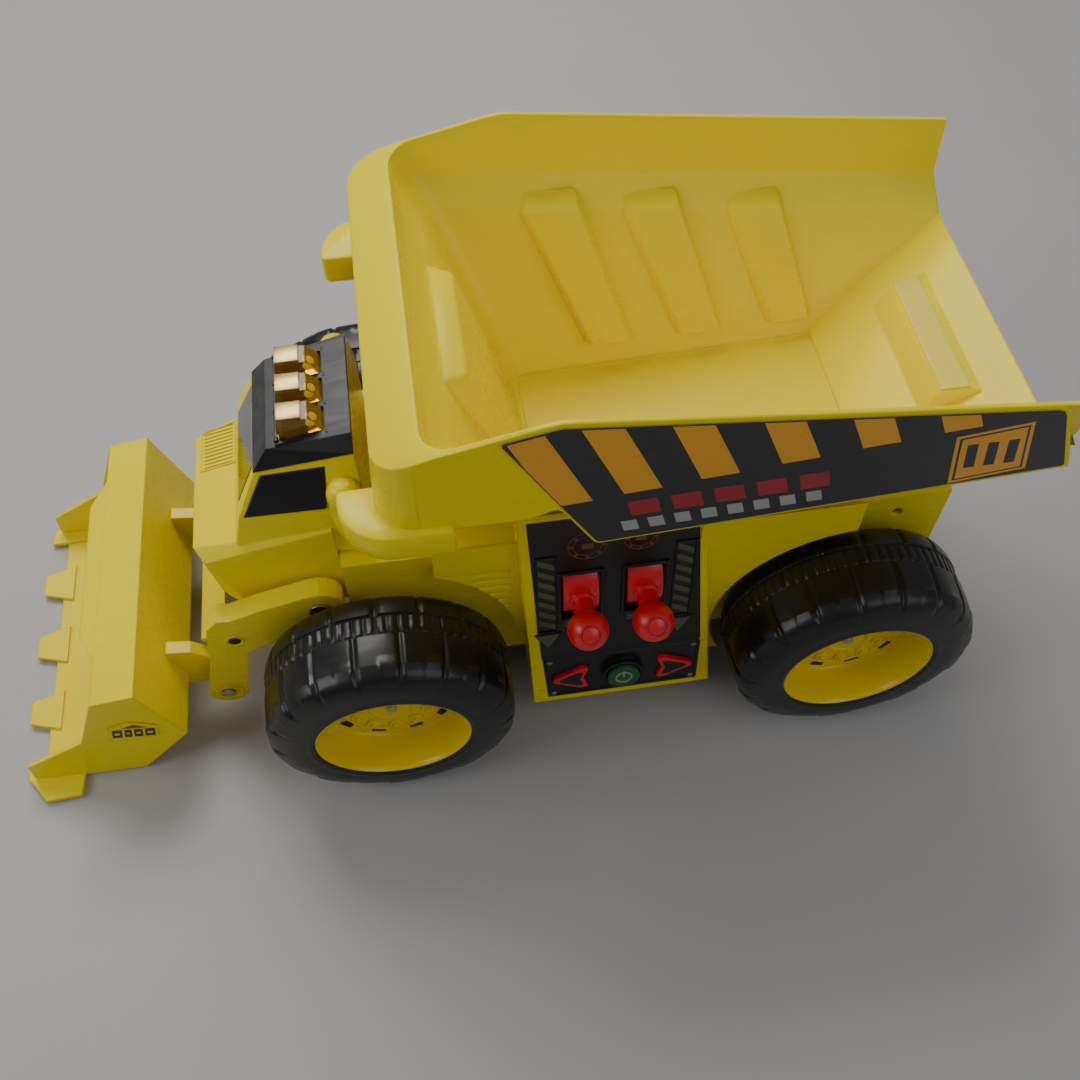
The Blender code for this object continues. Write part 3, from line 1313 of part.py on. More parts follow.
def wheel(prefix, tag, x, track_out, side):
    """A tyre and a deep-dish rim on one end of an axle."""
    width = TYRE_WIDTH
    centre = (x, side * track_out, AXLE_Z)
    hub = empty(f"{prefix}_{tag}_face", centre, (0, 0, 0 if side > 0 else pi), TRUCK)
    tyre = turned(f"{prefix}_tyre_{tag}", tyre_profile(width), (0, 0, 0), 28, TYRE_BLACK, hub)
    rows = []
    for row, (low, high) in enumerate(((-0.0190, -0.0030), (-width + 0.0030, -width + 0.0190))):
        rows.append(prism(f"{prefix}_lugs_{row}_{tag}", lug_outline(), low, high, parent=hub))
    ends = ((0, -width - 0.02, 0), (0, 0.02, 0))
    bore = cylinder(f"{prefix}_tyre_bore_{tag}", RIM_RADIUS + 0.0012, *ends, sides=28, parent=hub)
    join(tyre, *rows)
    cut(tyre, bore)
    outer = RIM_RADIUS + 0.0012 - GAP * 1.5
    disc = -0.0200
    profile = [
        (outer, -width + 0.0020),
        (RIM_RADIUS - 0.0050, -width + 0.0020),
        (RIM_RADIUS - 0.0050, disc - WALL),
        (0.0110, disc - WALL),
        (0.0090, disc - 0.0080),
        (AXLE_RADIUS + 0.0002, disc - 0.0080),
        (AXLE_RADIUS + 0.0002, disc + 0.0030),
        (0.0100, disc + 0.0030),
        (0.0200, disc),
        (RIM_RADIUS - 0.0040, disc + 0.0030),
        (RIM_RADIUS - 0.0014, -0.0010),
        (outer, -0.0010),
    ]
    turned(f"{prefix}_rim_{tag}", profile, (0, 0, 0), 28, YELLOW, hub)


def axles():
    ends = (("front", FRONT_AXLE_X, FRONT_TRACK_OUT), ("rear", REAR_AXLE_X, REAR_TRACK_OUT))
    for prefix, x, track in ends:
        half = track - 0.0165
        cylinder(f"{prefix}_axle", AXLE_RADIUS, (x, -half, AXLE_Z), (x, half, AXLE_Z), sides=20, finish=STEEL)
        for side, tag in ((1, "left"), (-1, "right")):
            wheel(prefix, tag, x, track, side)
    wheel_place, pinion_place = (REAR_AXLE_X, AXLE_Z), (PINION_X, AXLE_Z)
    bore = AXLE_RADIUS + 0.00015
    gear("axle_gear", GEAR_TEETH, PITCH_RADIUS, bore, wheel_place, GEAR_FACE, pi / GEAR_TEETH)
    gear("motor_pinion", PINION_TEETH, PINION_RADIUS, 0.0, pinion_place, GEAR_FACE + 0.0010, pi)


body_shell()
chassis()
for number, (spot_x, spot_y) in enumerate(SCREW_SPOTS, 1):
    screw(f"chassis_screw_{number}", spot_x, spot_y, CHASSIS_TOP - CHASSIS_THICK)
battery_pack()
drive()
electronics()
console()
buttons()
levers()
right_cover()
cab()
roof_and_beacons()
arms()
cross_plate()
bucket()
axles()
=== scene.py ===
"""Looks of the toy dump truck: finishes, camera, light and the pieces drawn finer than their CAD nodes.

The frame is in metres, +X forward, +Y to the left, +Z up. MID is the X of the point midway between the
axles, and at(x, y, z) places a point measured from there. Outlines of (x, z) points are measured from MID
too, except on the console, whose own frame has its face at y = 0.
"""

import json
from math import cos, floor, pi, radians, sin, tanh

import bmesh
import bpy
from mathutils import Matrix, Vector


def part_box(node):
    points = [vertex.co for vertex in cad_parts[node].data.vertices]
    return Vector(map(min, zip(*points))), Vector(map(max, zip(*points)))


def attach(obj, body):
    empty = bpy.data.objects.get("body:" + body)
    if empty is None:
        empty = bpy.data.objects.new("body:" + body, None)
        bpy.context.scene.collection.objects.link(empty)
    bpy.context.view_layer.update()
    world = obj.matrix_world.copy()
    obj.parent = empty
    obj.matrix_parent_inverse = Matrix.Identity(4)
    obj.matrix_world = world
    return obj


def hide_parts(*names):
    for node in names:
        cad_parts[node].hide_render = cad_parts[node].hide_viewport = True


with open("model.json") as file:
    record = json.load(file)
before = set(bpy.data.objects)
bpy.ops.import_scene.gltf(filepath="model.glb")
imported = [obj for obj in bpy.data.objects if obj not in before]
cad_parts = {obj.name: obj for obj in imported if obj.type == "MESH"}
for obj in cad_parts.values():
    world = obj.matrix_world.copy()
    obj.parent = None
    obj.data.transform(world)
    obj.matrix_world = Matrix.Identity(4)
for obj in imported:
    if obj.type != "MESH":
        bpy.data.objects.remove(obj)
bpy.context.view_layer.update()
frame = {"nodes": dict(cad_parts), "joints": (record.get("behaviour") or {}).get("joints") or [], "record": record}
NODES = frame["nodes"]
JOINTS = {joint["name"]: joint for joint in frame["joints"]}
FRONT_X = JOINTS["front_axle_spin"]["pos_m"][0]
REAR_X = JOINTS["rear_axle_spin"]["pos_m"][0]
MID = (FRONT_X + REAR_X) / 2
X_AXIS, Y_AXIS, Z_AXIS = Vector((1, 0, 0)), Vector((0, 1, 0)), Vector((0, 0, 1))


def at(x, y, z):
    return Vector((MID + x, y, z))


# ---------------------------------------------------------------- finishes
def node(tree, kind, **values):
    made = tree.nodes.new(kind)
    for key, value in values.items():
        if key in made.inputs:
            made.inputs[key].default_value = value
        else:
            setattr(made, key, value)
    return made


def finish(name, colour, rough, vary=0.06, grain=0.03, edge=0.0008, coat=0.0, wear=0.10, **extra):
    """A moulded or printed surface: uneven colour and gloss, fine grain, scuffs and paler rounded edges."""
    made = bpy.data.materials.new(name)
    made.use_nodes = True
    tree = made.node_tree
    shader = tree.nodes["Principled BSDF"]
    shader.inputs["Coat Weight"].default_value = coat
    shader.inputs["Coat Roughness"].default_value = 0.08
    for key, value in extra.items():
        shader.inputs[key.replace("_", " ")].default_value = value
    place = node(tree, "ShaderNodeTexCoord")
    link = tree.links.new

    def noise(scale, detail, stretch=(1, 1, 1)):
        spread = node(tree, "ShaderNodeMapping", Scale=stretch)
        link(place.outputs["Object"], spread.inputs["Vector"])
        texture = node(tree, "ShaderNodeTexNoise", Scale=scale, Detail=detail)
        link(spread.outputs["Vector"], texture.inputs["Vector"])
        return texture.outputs["Fac"]

    def mapped(source, low, high, start=0.3, end=0.7):
        ranged = node(tree, "ShaderNodeMapRange")
        ranged.inputs["From Min"].default_value = start
        ranged.inputs["From Max"].default_value = end
        ranged.inputs["To Min"].default_value = low
        ranged.inputs["To Max"].default_value = high
        link(source, ranged.inputs["Value"])
        return ranged.outputs["Result"]

    def mixed(amount, first, second):
        mix = node(tree, "ShaderNodeMix", data_type="RGBA")
        link(amount, mix.inputs["Factor"])
        for socket, value in (("A", first), ("B", second)):
            spot = next(i for i in mix.inputs if i.identifier == f"{socket}_Color")
            if isinstance(value, tuple):
                spot.default_value = (*value, 1.0)
            else:
                link(value, spot)
        return next(o for o in mix.outputs if o.identifier == "Result_Color")

    deep = tuple(c * (1 - vary) for c in colour)
    pale = tuple(min(1.0, c * (1 + vary * 0.6) + 0.012) for c in colour)
    flecks = mixed(mapped(noise(9.0, 3.0), 0.0, 1.0), deep, colour)
    rounded_edge = node(tree, "ShaderNodeBevel", samples=4)
    rounded_edge.inputs["Radius"].default_value = edge
    true_face = node(tree, "ShaderNodeNewGeometry")
    turn = node(tree, "ShaderNodeVectorMath", operation="DOT_PRODUCT")
    link(rounded_edge.outputs["Normal"], turn.inputs[0])
    link(true_face.outputs["Normal"], turn.inputs[1])
    rubbed = mapped(turn.outputs["Value"], wear * 4, 0.0, 0.75, 0.995)
    link(mixed(rubbed, flecks, pale), shader.inputs["Base Color"])
    scuffs = mapped(noise(40.0, 6.0, (1.0, 6.0, 6.0)), rough * 0.85, rough * 1.15 + 0.02)
    link(scuffs, shader.inputs["Roughness"])
    fine = node(tree, "ShaderNodeBump", Strength=grain, Distance=0.0003)
    link(noise(1400.0, 2.0), fine.inputs["Height"])
    link(rounded_edge.outputs["Normal"], fine.inputs["Normal"])
    wavy = node(tree, "ShaderNodeBump", Strength=0.05, Distance=0.002)
    link(noise(26.0, 1.0), wavy.inputs["Height"])
    link(fine.outputs["Normal"], wavy.inputs["Normal"])
    link(wavy.outputs["Normal"], shader.inputs["Normal"])
    return made


SHELL = {"vary": 0.025, "grain": 0.02, "edge": 0.0012, "wear": 0.01, "Specular_IOR_Level": 0.28}
YELLOW = finish("yellow_shell", (0.950, 0.770, 0.0), 0.28, **SHELL)
RIM_YELLOW = finish("rim_yellow", (0.880, 0.660, 0.0), 0.30, coat=0.15)
# A paler, glossier yellow: a painted highlight on the top face of the tail ramp's block.
TOP_HIGHLIGHT = finish("painted_highlight_yellow", (0.900, 0.720, 0.100), 0.10, vary=0.03, coat=0.6)
# Darker yellow painted shade, drawn as lines in the grooves between the hood's louvre ribs and along the bucket's
# fold.
GROOVE_SHADE = finish("painted_groove_shade", (0.560, 0.400, 0.004), 0.4, edge=0.0002)
TYRE = finish("tyre_black", (0.0075, 0.0072, 0.0070), 0.34, vary=0.3, coat=0.12, wear=0.02)
BLACK = finish("satin_black", (0.0120, 0.0120, 0.0125), 0.36, vary=0.25, wear=0.03)
GLOSS_BLACK = finish("window_black", (0.0040, 0.0040, 0.0045), 0.10, vary=0.2, grain=0.0, coat=0.4, wear=0.0)
# Near-black painted shade, laid in the rim's holes, the screw slots and the elbow holes, and at the foot of each
# lamp lens.
PAINTED_SHADE = finish("painted_recess_shade", (0.0050, 0.0050, 0.0050), 0.6, vary=0.2, wear=0.0)
PRINT = {"grain": 0.02, "edge": 0.0002}
PRINT_BLACK = finish("print_black", (0.0160, 0.0165, 0.0180), 0.30, vary=0.2, coat=0.2, **PRINT)
PRINT_ORANGE = finish("print_orange", (0.880, 0.400, 0.008), 0.30, vary=0.05, coat=0.2, **PRINT)
PRINT_RED = finish("print_red", (0.420, 0.020, 0.028), 0.32, vary=0.12, **PRINT)
PRINT_GREY = finish("print_grey", (0.420, 0.410, 0.400), 0.32, vary=0.12, **PRINT)
PRINT_OLIVE = finish("print_olive", (0.115, 0.115, 0.050), 0.4, vary=0.2, edge=0.0002)
PRINT_RUST = finish("print_rust", (0.240, 0.075, 0.030), 0.4, vary=0.2, edge=0.0002)
RED = finish("red_plastic", (0.840, 0.016, 0.026), 0.30, coat=0.2)
DARK_RED = finish("ring_red", (0.420, 0.008, 0.012), 0.40, vary=0.1, edge=0.0002)
GREEN = finish("button_green", (0.022, 0.130, 0.045), 0.34, vary=0.12)
MINT = finish("button_mark", (0.240, 0.430, 0.260), 0.4, vary=0.1, edge=0.0002)
STEEL = finish("zinc_steel", (0.520, 0.520, 0.530), 0.32, vary=0.12, Metallic=1.0)
# Pale gold metal laid over the top of each lamp lens: a painted reflection.
LENS_REFLECTION = finish("painted_lens_reflection", (0.620, 0.430, 0.160), 0.28, vary=0.06, grain=0.0, Metallic=0.6)
# A faintly glowing pale ball inside each lamp lens: a painted glint.
LENS_GLINT = finish(
    "painted_lens_glint",
    (0.900, 0.800, 0.450),
    0.3,
    Emission_Strength=0.30,
    Emission_Color=(1, 0.8, 0.4, 1),
)
BOARD = finish("circuit_green", (0.018, 0.170, 0.060), 0.4)
NYLON = finish("white_nylon", (0.760, 0.750, 0.700), 0.5)
CELL = finish("cell_sleeve", (0.120, 0.120, 0.140), 0.3)
AMBER = finish(
    "amber_lens",
    (0.900, 0.520, 0.020),
    0.06,
    vary=0.04,
    grain=0.0,
    wear=0.0,
    edge=0.0005,
    Transmission_Weight=0.80,
    IOR=1.46,
)

SLOT_FINISH = {
    "yellow_plastic": YELLOW,
    "rim_plastic": RIM_YELLOW,
    "tyre_rubber": TYRE,
    "printed_decal": PRINT_BLACK,
    "window_gloss": GLOSS_BLACK,
    "amber_lens": AMBER,
    "red_plastic": RED,
    "green_plastic": GREEN,
    "white_nylon": NYLON,
    "circuit_board": BOARD,
    "cell_sleeve": CELL,
    "black_plastic": BLACK,
    "steel": STEEL,
}
NODE_SLOT = {row["node"]: row["material_slot"] for row in frame["record"]["subparts"]}

for name, cad in NODES.items():
    cad.data.materials.clear()
    cad.data.materials.append(YELLOW if name.startswith("bucket_label") else SLOT_FINISH[NODE_SLOT[name]])
    cad.data.shade_smooth()
    cad.data.set_sharp_from_angle(angle=radians(32))


# ---------------------------------------------------------------- building pieces
SHARP = 0.5


class Piece:
    """One shown object, made of several solids with a finish each."""

    def __init__(self, name, body, place=None):
        self.name, self.body = name, body
        self.place = place or Matrix.Identity(4)
        self.shape = bmesh.new()
        self.finishes = []

    def _added(self, faces, material, bevel=0.0, steps=2):
        """Gives new faces their finish and rounds their sharp edges."""
        if material not in self.finishes:
            self.finishes.append(material)
        index = self.finishes.index(material)
        faces = [f for f in faces if f.is_valid]
        for face in faces:
            face.material_index = index
            face.smooth = True
        if bevel:
            edges = dict.fromkeys(e for f in faces for e in f.edges)
            sharp = [e for e in edges if len(e.link_faces) == 2 and e.calc_face_angle(0) > SHARP]
            bmesh.ops.bevel(
                self.shape,
                geom=sharp,
                offset=bevel,
                offset_type="OFFSET",
                segments=steps,
                profile=0.5,
                affect="EDGES",
                clamp_overlap=True,
                material=index,
            )

    def _faces_of(self, verts):
        return list(dict.fromkeys(f for v in verts for f in v.link_faces))

    def hull(self, material, points, bevel=0.0):
        verts = [self.shape.verts.new(self.place @ Vector(p)) for p in points]
        found = bmesh.ops.convex_hull(self.shape, input=verts)
        inside = [v for v in found["geom_interior"] if isinstance(v, bmesh.types.BMVert)]
        bmesh.ops.delete(self.shape, geom=inside, context="VERTS")
        verts = [v for v in verts if v.is_valid]
        faces = self._faces_of(verts)
        edges = list(dict.fromkeys(e for f in faces for e in f.edges))
        bmesh.ops.dissolve_limit(self.shape, angle_limit=radians(1), verts=verts, edges=edges)
        verts = [v for v in verts if v.is_valid]
        self._added(self._faces_of(verts), material, bevel)

    def box(self, material, low, high, bevel=0.0):
        corners = [(x, y, z) for x in (low[0], high[0]) for y in (low[1], high[1]) for z in (low[2], high[2])]
        self.hull(material, corners, bevel)

    def prism(self, material, outline, low, high, bevel=0.0, upright=False):
        """An outline of (x, z) points thick along Y or, when upright, one of (x, y) points thick along Z."""
        rings = []
        for depth in (low, high):
            points = [(a, b, depth) if upright else (a, depth, b) for a, b in outline]
            rings.append([self.shape.verts.new(self.place @ Vector(p)) for p in points])
        faces = [self.shape.faces.new(rings[0]), self.shape.faces.new(list(reversed(rings[1])))]
        count = len(outline)
        for i in range(count):
            j = (i + 1) % count
            faces.append(self.shape.faces.new((rings[0][i], rings[1][i], rings[1][j], rings[0][j])))
        bmesh.ops.recalc_face_normals(self.shape, faces=faces)
        self._added(faces, material, bevel)

    def rod(self, material, radius, start, end, sides=32, bevel=0.0):
        start, end = self.place @ Vector(start), self.place @ Vector(end)
        turn = (end - start).to_track_quat("Z", "Y").to_matrix().to_4x4()
        made = bmesh.ops.create_cone(
            self.shape,
            cap_ends=True,
            segments=sides,
            radius1=radius,
            radius2=radius,
            depth=(end - start).length,
            matrix=Matrix.Translation((start + end) / 2) @ turn,
        )
        self._added(self._faces_of(made["verts"]), material, bevel)

    def ball(self, material, radius, centre):
        place = self.place @ Matrix.Translation(centre)
        made = bmesh.ops.create_uvsphere(
            self.shape,
            u_segments=40,
            v_segments=20,
            radius=radius,
            matrix=place,
        )
        self._added(self._faces_of(made["verts"]), material)

    def turned(self, material, profile, centre, axis, steps=64):
        """A closed profile of (radius, height) points turned about an axis; radius 0 is a point on it."""
        basis = axis.to_track_quat("Z", "X").to_matrix().to_4x4()
        place = self.place @ Matrix.Translation(centre) @ basis
        rows = []
        for radius, height in profile:
            if radius == 0:
                rows.append([self.shape.verts.new(place @ Vector((0, 0, height)))])
                continue
            ring = []
            for k in range(steps):
                a = 2 * pi * k / steps
                ring.append(self.shape.verts.new(place @ Vector((radius * cos(a), radius * sin(a), height))))
            rows.append(ring)
        faces = []
        for first, second in zip(rows, rows[1:] + rows[:1]):
            if len(first) == 1 and len(second) == 1:
                continue
            for k in range(steps):
                n = (k + 1) % steps
                if len(first) == 1:
                    faces.append(self.shape.faces.new((first[0], second[k], second[n])))
                elif len(second) == 1:
                    faces.append(self.shape.faces.new((first[k], second[0], first[n])))
                else:
                    faces.append(self.shape.faces.new((first[k], second[k], second[n], first[n])))
        bmesh.ops.recalc_face_normals(self.shape, faces=faces)
        self._added(faces, material)

    def ring(self, material, radius, thick, centre, axis, steps=48):
        profile = []
        for k in range(8):
            a = 2 * pi * k / 8
            profile.append((radius + thick * cos(a), thick * sin(a)))
        self.turned(material, profile, centre, axis, steps)

    def grid(self, material, rows, wrap=True):
        """Faces through rows of points; wrap joins each row's end to its start."""
        made = [[self.shape.verts.new(self.place @ Vector(p)) for p in row] for row in rows]
        faces = []
        count = len(rows[0])
        for first, second in zip(made, made[1:]):
            for k in range(count if wrap else count - 1):
                n = (k + 1) % count
                faces.append(self.shape.faces.new((first[k], first[n], second[n], second[k])))
        bmesh.ops.recalc_face_normals(self.shape, faces=faces)
        self._added(faces, material)

    def line(self, material, points, thick=0.00025):
        for start, end in zip(points, points[1:]):
            self.rod(material, thick, start, end, sides=8)

    def done(self, *nodes, angle=38, slot=None):
        mesh = bpy.data.meshes.new(self.name)
        self.shape.to_mesh(mesh)
        self.shape.free()
        for material in self.finishes:
            mesh.materials.append(material)
        mesh.set_sharp_from_angle(angle=radians(angle))
        made = bpy.data.objects.new(self.name, mesh)
        bpy.context.scene.collection.objects.link(made)
        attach(made, self.body)
        if nodes:
            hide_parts(*nodes)


def ramp(x, edge, width):
    """0 below the edge and 1 above it, over about the given width."""
    return 0.5 + 0.5 * tanh((x - edge) / width * 2.5)


def between(points, x):
    """The value at x of a polyline through (x, value) points."""
    for (x0, v0), (x1, v1) in zip(points, points[1:]):
        if x <= x1:
            share = 0 if x1 == x0 else max(0.0, (x - x0) / (x1 - x0))
            return v0 + (v1 - v0) * share
    return points[-1][1]


def clipped(outline, fence):
    """The part of an outline inside a convex counter-clockwise fence."""
    for (ax, az), (bx, bz) in zip(fence, fence[1:] + fence[:1]):
        kept = []
        for p, q in zip(outline, outline[1:] + outline[:1]):
            sp = (bx - ax) * (p[1] - az) - (bz - az) * (p[0] - ax)
            sq = (bx - ax) * (q[1] - az) - (bz - az) * (q[0] - ax)
            if sp >= 0:
                kept.append(p)
            if (sp >= 0) != (sq >= 0):
                t = sp / (sp - sq)
                kept.append((p[0] + (q[0] - p[0]) * t, p[1] + (q[1] - p[1]) * t))
        outline = kept
        if not outline:
            return []
    return outline


def rounded(points, radii, steps=5):
    """The outline with each corner turned into an arc of its radius. A radius of 0 keeps the corner."""
    outline = []
    count = len(points)
    for i, (point, radius) in enumerate(zip(points, radii)):
        corner = Vector(point)
        before = (Vector(points[i - 1]) - corner).normalized()
        after = (Vector(points[(i + 1) % count]) - corner).normalized()
        if radius == 0:
            outline.append(tuple(corner))
            continue
        half = before.angle(after) / 2
        centre = corner + (before + after).normalized() * radius / sin(half)
        along = radius * cos(half) / sin(half)
        first = (corner + before * along - centre).normalized()
        last = (corner + after * along - centre).normalized()
        for k in range(steps + 1):
            outline.append(tuple(centre + first.slerp(last, k / steps) * radius))
    return outline


# ---------------------------------------------------------------- wheels
LUGS = 18
LUG_SAMPLES = 26
TYRE_SIDE = (
    (0.0000, 0.0392),
    (0.0004, 0.0420),
    (0.0002, 0.0455),
    (0.0008, 0.0498),
    (0.0022, 0.0536),
    (0.0050, 0.0564),
    (0.0095, 0.0581),
    (0.0160, 0.0587),
    (0.0250, 0.0590),
    (0.0360, 0.0589),
    (0.0420, 0.0582),
    (0.0460, 0.0562),
    (0.0485, 0.0525),
    (0.0497, 0.0470),
    (0.0500, 0.0392),
)
TYRE_ROWS = (
    0.0000, 0.0006, 0.0014, 0.0024, 0.0034, 0.0042, 0.0052, 0.0070, 0.0100, 0.0104, 0.0150, 0.0200, 0.0244,
    0.0249, 0.0256, 0.0261, 0.0300, 0.0340, 0.0345, 0.0352, 0.0357, 0.0400, 0.0440, 0.0450, 0.0456, 0.0470,
)


def lug_height(depth, angle):
    """How far the tread stands out, at a depth from the outer face and an angle."""
    turn = angle / (2 * pi) * LUGS
    number, part = floor(turn), turn - floor(turn)
    groove = ramp(part, 0.05, 0.05) * (1 - ramp(part, 0.95, 0.05))
    start = 0.0016 if number % 2 else 0.0030
    outer = ramp(depth, start, 0.0014) * (1 - ramp(depth, 0.0252, 0.0006)) * groove
    step = 0.00035 * ramp(part, 0.5, 0.04) * (1 - ramp(depth, 0.0102, 0.0004))
    shifted = turn * 4
    rib = shifted - floor(shifted)
    ribbed = ramp(rib, 0.13, 0.14) * (1 - ramp(rib, 0.87, 0.14))
    middle = ramp(depth, 0.0258, 0.0005) * (1 - ramp(depth, 0.0348, 0.0006)) * ribbed
    back = turn + 0.5
    part = back - floor(back)
    cleft = ramp(part, 0.05, 0.05) * (1 - ramp(part, 0.95, 0.05))
    inner = ramp(depth, 0.0354, 0.0005) * (1 - ramp(depth, 0.0462, 0.0014)) * cleft
    return 0.0013 * outer + step * outer + 0.0009 * middle + 0.0014 * inner


def tyre(end, side):
    node_name = f"{end}_tyre_{side}"
    low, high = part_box(node_name)
    centre = (low + high) / 2
    sign = 1 if centre.y > 0 else -1
    face = high.y if sign > 0 else low.y
    outer = high.z - centre.z
    count = LUGS * LUG_SAMPLES
    piece = Piece(f"{node_name}_look", f"{end}_wheels")

    def ring(depth, radius_of):
        row = []
        for k in range(count):
            angle = 2 * pi * k / count
            radius = radius_of(depth, angle)
            row.append((centre.x + radius * cos(angle), face - sign * depth, centre.z + radius * sin(angle)))
        return row

    def treaded(depth, angle):
        base = between(TYRE_SIDE[4:12], depth) if 0.0022 <= depth <= 0.0460 else between(TYRE_SIDE, depth)
        return min(base + lug_height(depth, angle), outer)

    rows = []
    for depth, radius in TYRE_SIDE[:4]:
        rows.append(ring(depth, lambda d, a, r=radius: r))
    for depth in [0.0012, *TYRE_ROWS[3:]]:
        rows.append(ring(depth, treaded))
    for depth, radius in TYRE_SIDE[12:]:
        rows.append(ring(depth, lambda d, a, r=radius: r))
    piece.grid(TYRE, rows + rows[:1])
    lip = [(0.0376, 0.0004), (0.0392, -0.0001), (0.0410, 0.0003), (0.0410, 0.0030), (0.0376, 0.0030)]
    piece.turned(TYRE, [(r, -d) for r, d in lip], (centre.x, face, centre.z), Y_AXIS * sign, 96)
    piece.done(node_name, angle=50)


def rim(end, side):
    node_name = f"{end}_rim_{side}"
    low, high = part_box(f"{end}_tyre_{side}")
    centre = (low + high) / 2
    sign = 1 if centre.y > 0 else -1
    face = Vector((centre.x, high.y if sign > 0 else low.y, centre.z))
    axis = Y_AXIS * sign
    turn = axis.to_track_quat("Z", "X").to_matrix().to_4x4()
    piece = Piece(f"{node_name}_look", f"{end}_wheels", Matrix.Translation(face) @ turn)
    profile = [
        (0.0377, -0.0022), (0.0374, -0.0010), (0.0366, -0.0008), (0.0360, -0.0016), (0.0356, -0.0040),
        (0.0352, -0.0080), (0.0350, -0.0140), (0.0347, -0.0190), (0.0338, -0.0206), (0.0318, -0.0212),
        (0.0268, -0.0212), (0.0255, -0.0206), (0.0248, -0.0192), (0.0238, -0.0186), (0.0140, -0.0184),
        (0.0115, -0.0180), (0.0108, -0.0170), (0.0098, -0.0168), (0.0092, -0.0174), (0.0086, -0.0180),
        (0.0000, -0.0180), (0.0000, -0.0290), (0.0090, -0.0290), (0.0110, -0.0236), (0.0315, -0.0236),
        (0.0322, -0.0250), (0.0322, -0.0478), (0.0378, -0.0478),
    ]
    piece.turned(RIM_YELLOW, profile, (0, 0, 0), Z_AXIS, 96)
    for k in range(10):
        a = 2 * pi * k / 10
        spot = Vector((0.0180 * cos(a), 0.0180 * sin(a), 0))
        piece.rod(RIM_YELLOW, 0.0034, spot + Z_AXIS * -0.0190, spot + Z_AXIS * -0.0172, 24, bevel=0.0004)
        piece.rod(RIM_YELLOW, 0.0019, spot + Z_AXIS * -0.0175, spot + Z_AXIS * -0.0160, 6, bevel=0.0002)
        a += pi / 10
        along = Vector((cos(a), sin(a), 0))
        sideways = Vector((-sin(a), cos(a), 0))
        corners = []
        for r, half in ((0.0276, 0.0026), (0.0312, 0.0036)):
            for s in (-half, half):
                for h in (-0.0216, -0.0206):
                    corners.append(along * r + sideways * s + Z_AXIS * h)
        # Near-black pads in the dish's trough: painted shade.
        piece.hull(PAINTED_SHADE, corners)
    piece.ring(RIM_YELLOW, 0.0236, 0.0006, (0, 0, -0.0186), Z_AXIS, 72)
    piece.done(node_name)


for end in ("front", "rear"):
    for side in ("left", "right"):
        tyre(end, side)
        rim(end, side)


# ---------------------------------------------------------------- dump bed
TAIL = -0.1816
FLOOR_TAIL = -0.1170
PEAK_X = 0.0320
NOSE_X = 0.1023
RIM = (
    (TAIL, 0.2268),
    (-0.1675, 0.2286),
    (0.0260, 0.2531),
    (PEAK_X, 0.2536),
    (0.0380, 0.2526),
    (0.0777, 0.2438),
    (0.0880, 0.2402),
    (NOSE_X, 0.2345),
)
STATIONS = (TAIL, -0.1675, -0.14, -0.11, -0.08, -0.05, -0.02, 0.005, 0.022, 0.026, PEAK_X, 0.038, 0.046)
STRAIGHT_END = 0.0520
LEDGE_UP, LEDGE_SLOPE = 0.2255, 0.1208
FLOOR_FRONT, FLOOR_UP, FLOOR_SLOPE = 0.0352, 0.1360, 0.046
SLOPE_FOOT, SLOPE_DROP = 0.1400, 0.0105
SLOPE_FOOT_HALF, SLOPE_TOP_HALF = 0.0420, 0.0735
BED_HALF, WALL_INNER_HALF = 0.0907, 0.0883
SHOULDER_UNDER, SHOULDER_TOP = 0.1860, 0.2010
RIB_ENDS = ((0.0110, -0.0145), (-0.0370, -0.0600), (-0.0872, -0.1060))
RIB_FOOT_UP = 0.1500
RIB_TOP_HALF, RIB_FOOT_HALF = 0.0122, 0.0092
LUG_EYE = 0.0060
LUG_INNER, LUG_OUTER = 0.0300, 0.0350
HINGE = JOINTS["bed_tilt"]["pos_m"]


def rim_z(drop=0.0):
    return lambda x: between(RIM, x) - drop


def ledge_z(drop=0.0):
    return lambda x: LEDGE_UP + (x - PEAK_X) * LEDGE_SLOPE - drop


def floor_z(drop=0.0):
    return lambda x: FLOOR_UP + (FLOOR_FRONT - x) * FLOOR_SLOPE - drop


def bowed(start, half, front, corner, height, stations, tail_half=None):
    """A contour along the left side, round the front and back along the right side."""
    end = front - corner
    left = []
    for x in [*stations, end]:
        share = (x - start) / (end - start)
        left.append((x, (tail_half or half) * (1 - share) + half * share))
    for k in range(1, 9):
        a = pi / 2 * k / 8
        left.append((end + corner * sin(a), half - corner + corner * cos(a)))
    for k in range(1, 5):
        left.append((front, (half - corner) * (1 - k / 4)))
    points = [at(x, y, height(x)) for x, y in left]
    return points + [Vector((p.x, -p.y, p.z)) for p in reversed(points[:-1])]


def round_bed(half, front, corner, height, tail_half=None):
    return bowed(TAIL, half, front, corner, height, STATIONS, tail_half)


def round_floor(half, front, corner, height):
    scale = (front - corner - FLOOR_TAIL) / (STRAIGHT_END - TAIL)
    return bowed(FLOOR_TAIL, half, front, corner, height, [FLOOR_TAIL + (x - TAIL) * scale for x in STATIONS])


def across(piece, row):
    """A floor between the two halves of a contour."""
    count = len(row)
    pairs = [[row[k], row[count - 1 - k]] for k in range(count // 2)]
    piece.grid(YELLOW, pairs, wrap=False)


def slope_half(x, z):
    """Half width of the load space's sloping side at a height."""
    top = ledge_z(SLOPE_DROP)(x)
    share = (z - SLOPE_FOOT) / (top - SLOPE_FOOT)
    return SLOPE_FOOT_HALF + (SLOPE_TOP_HALF - SLOPE_FOOT_HALF) * share


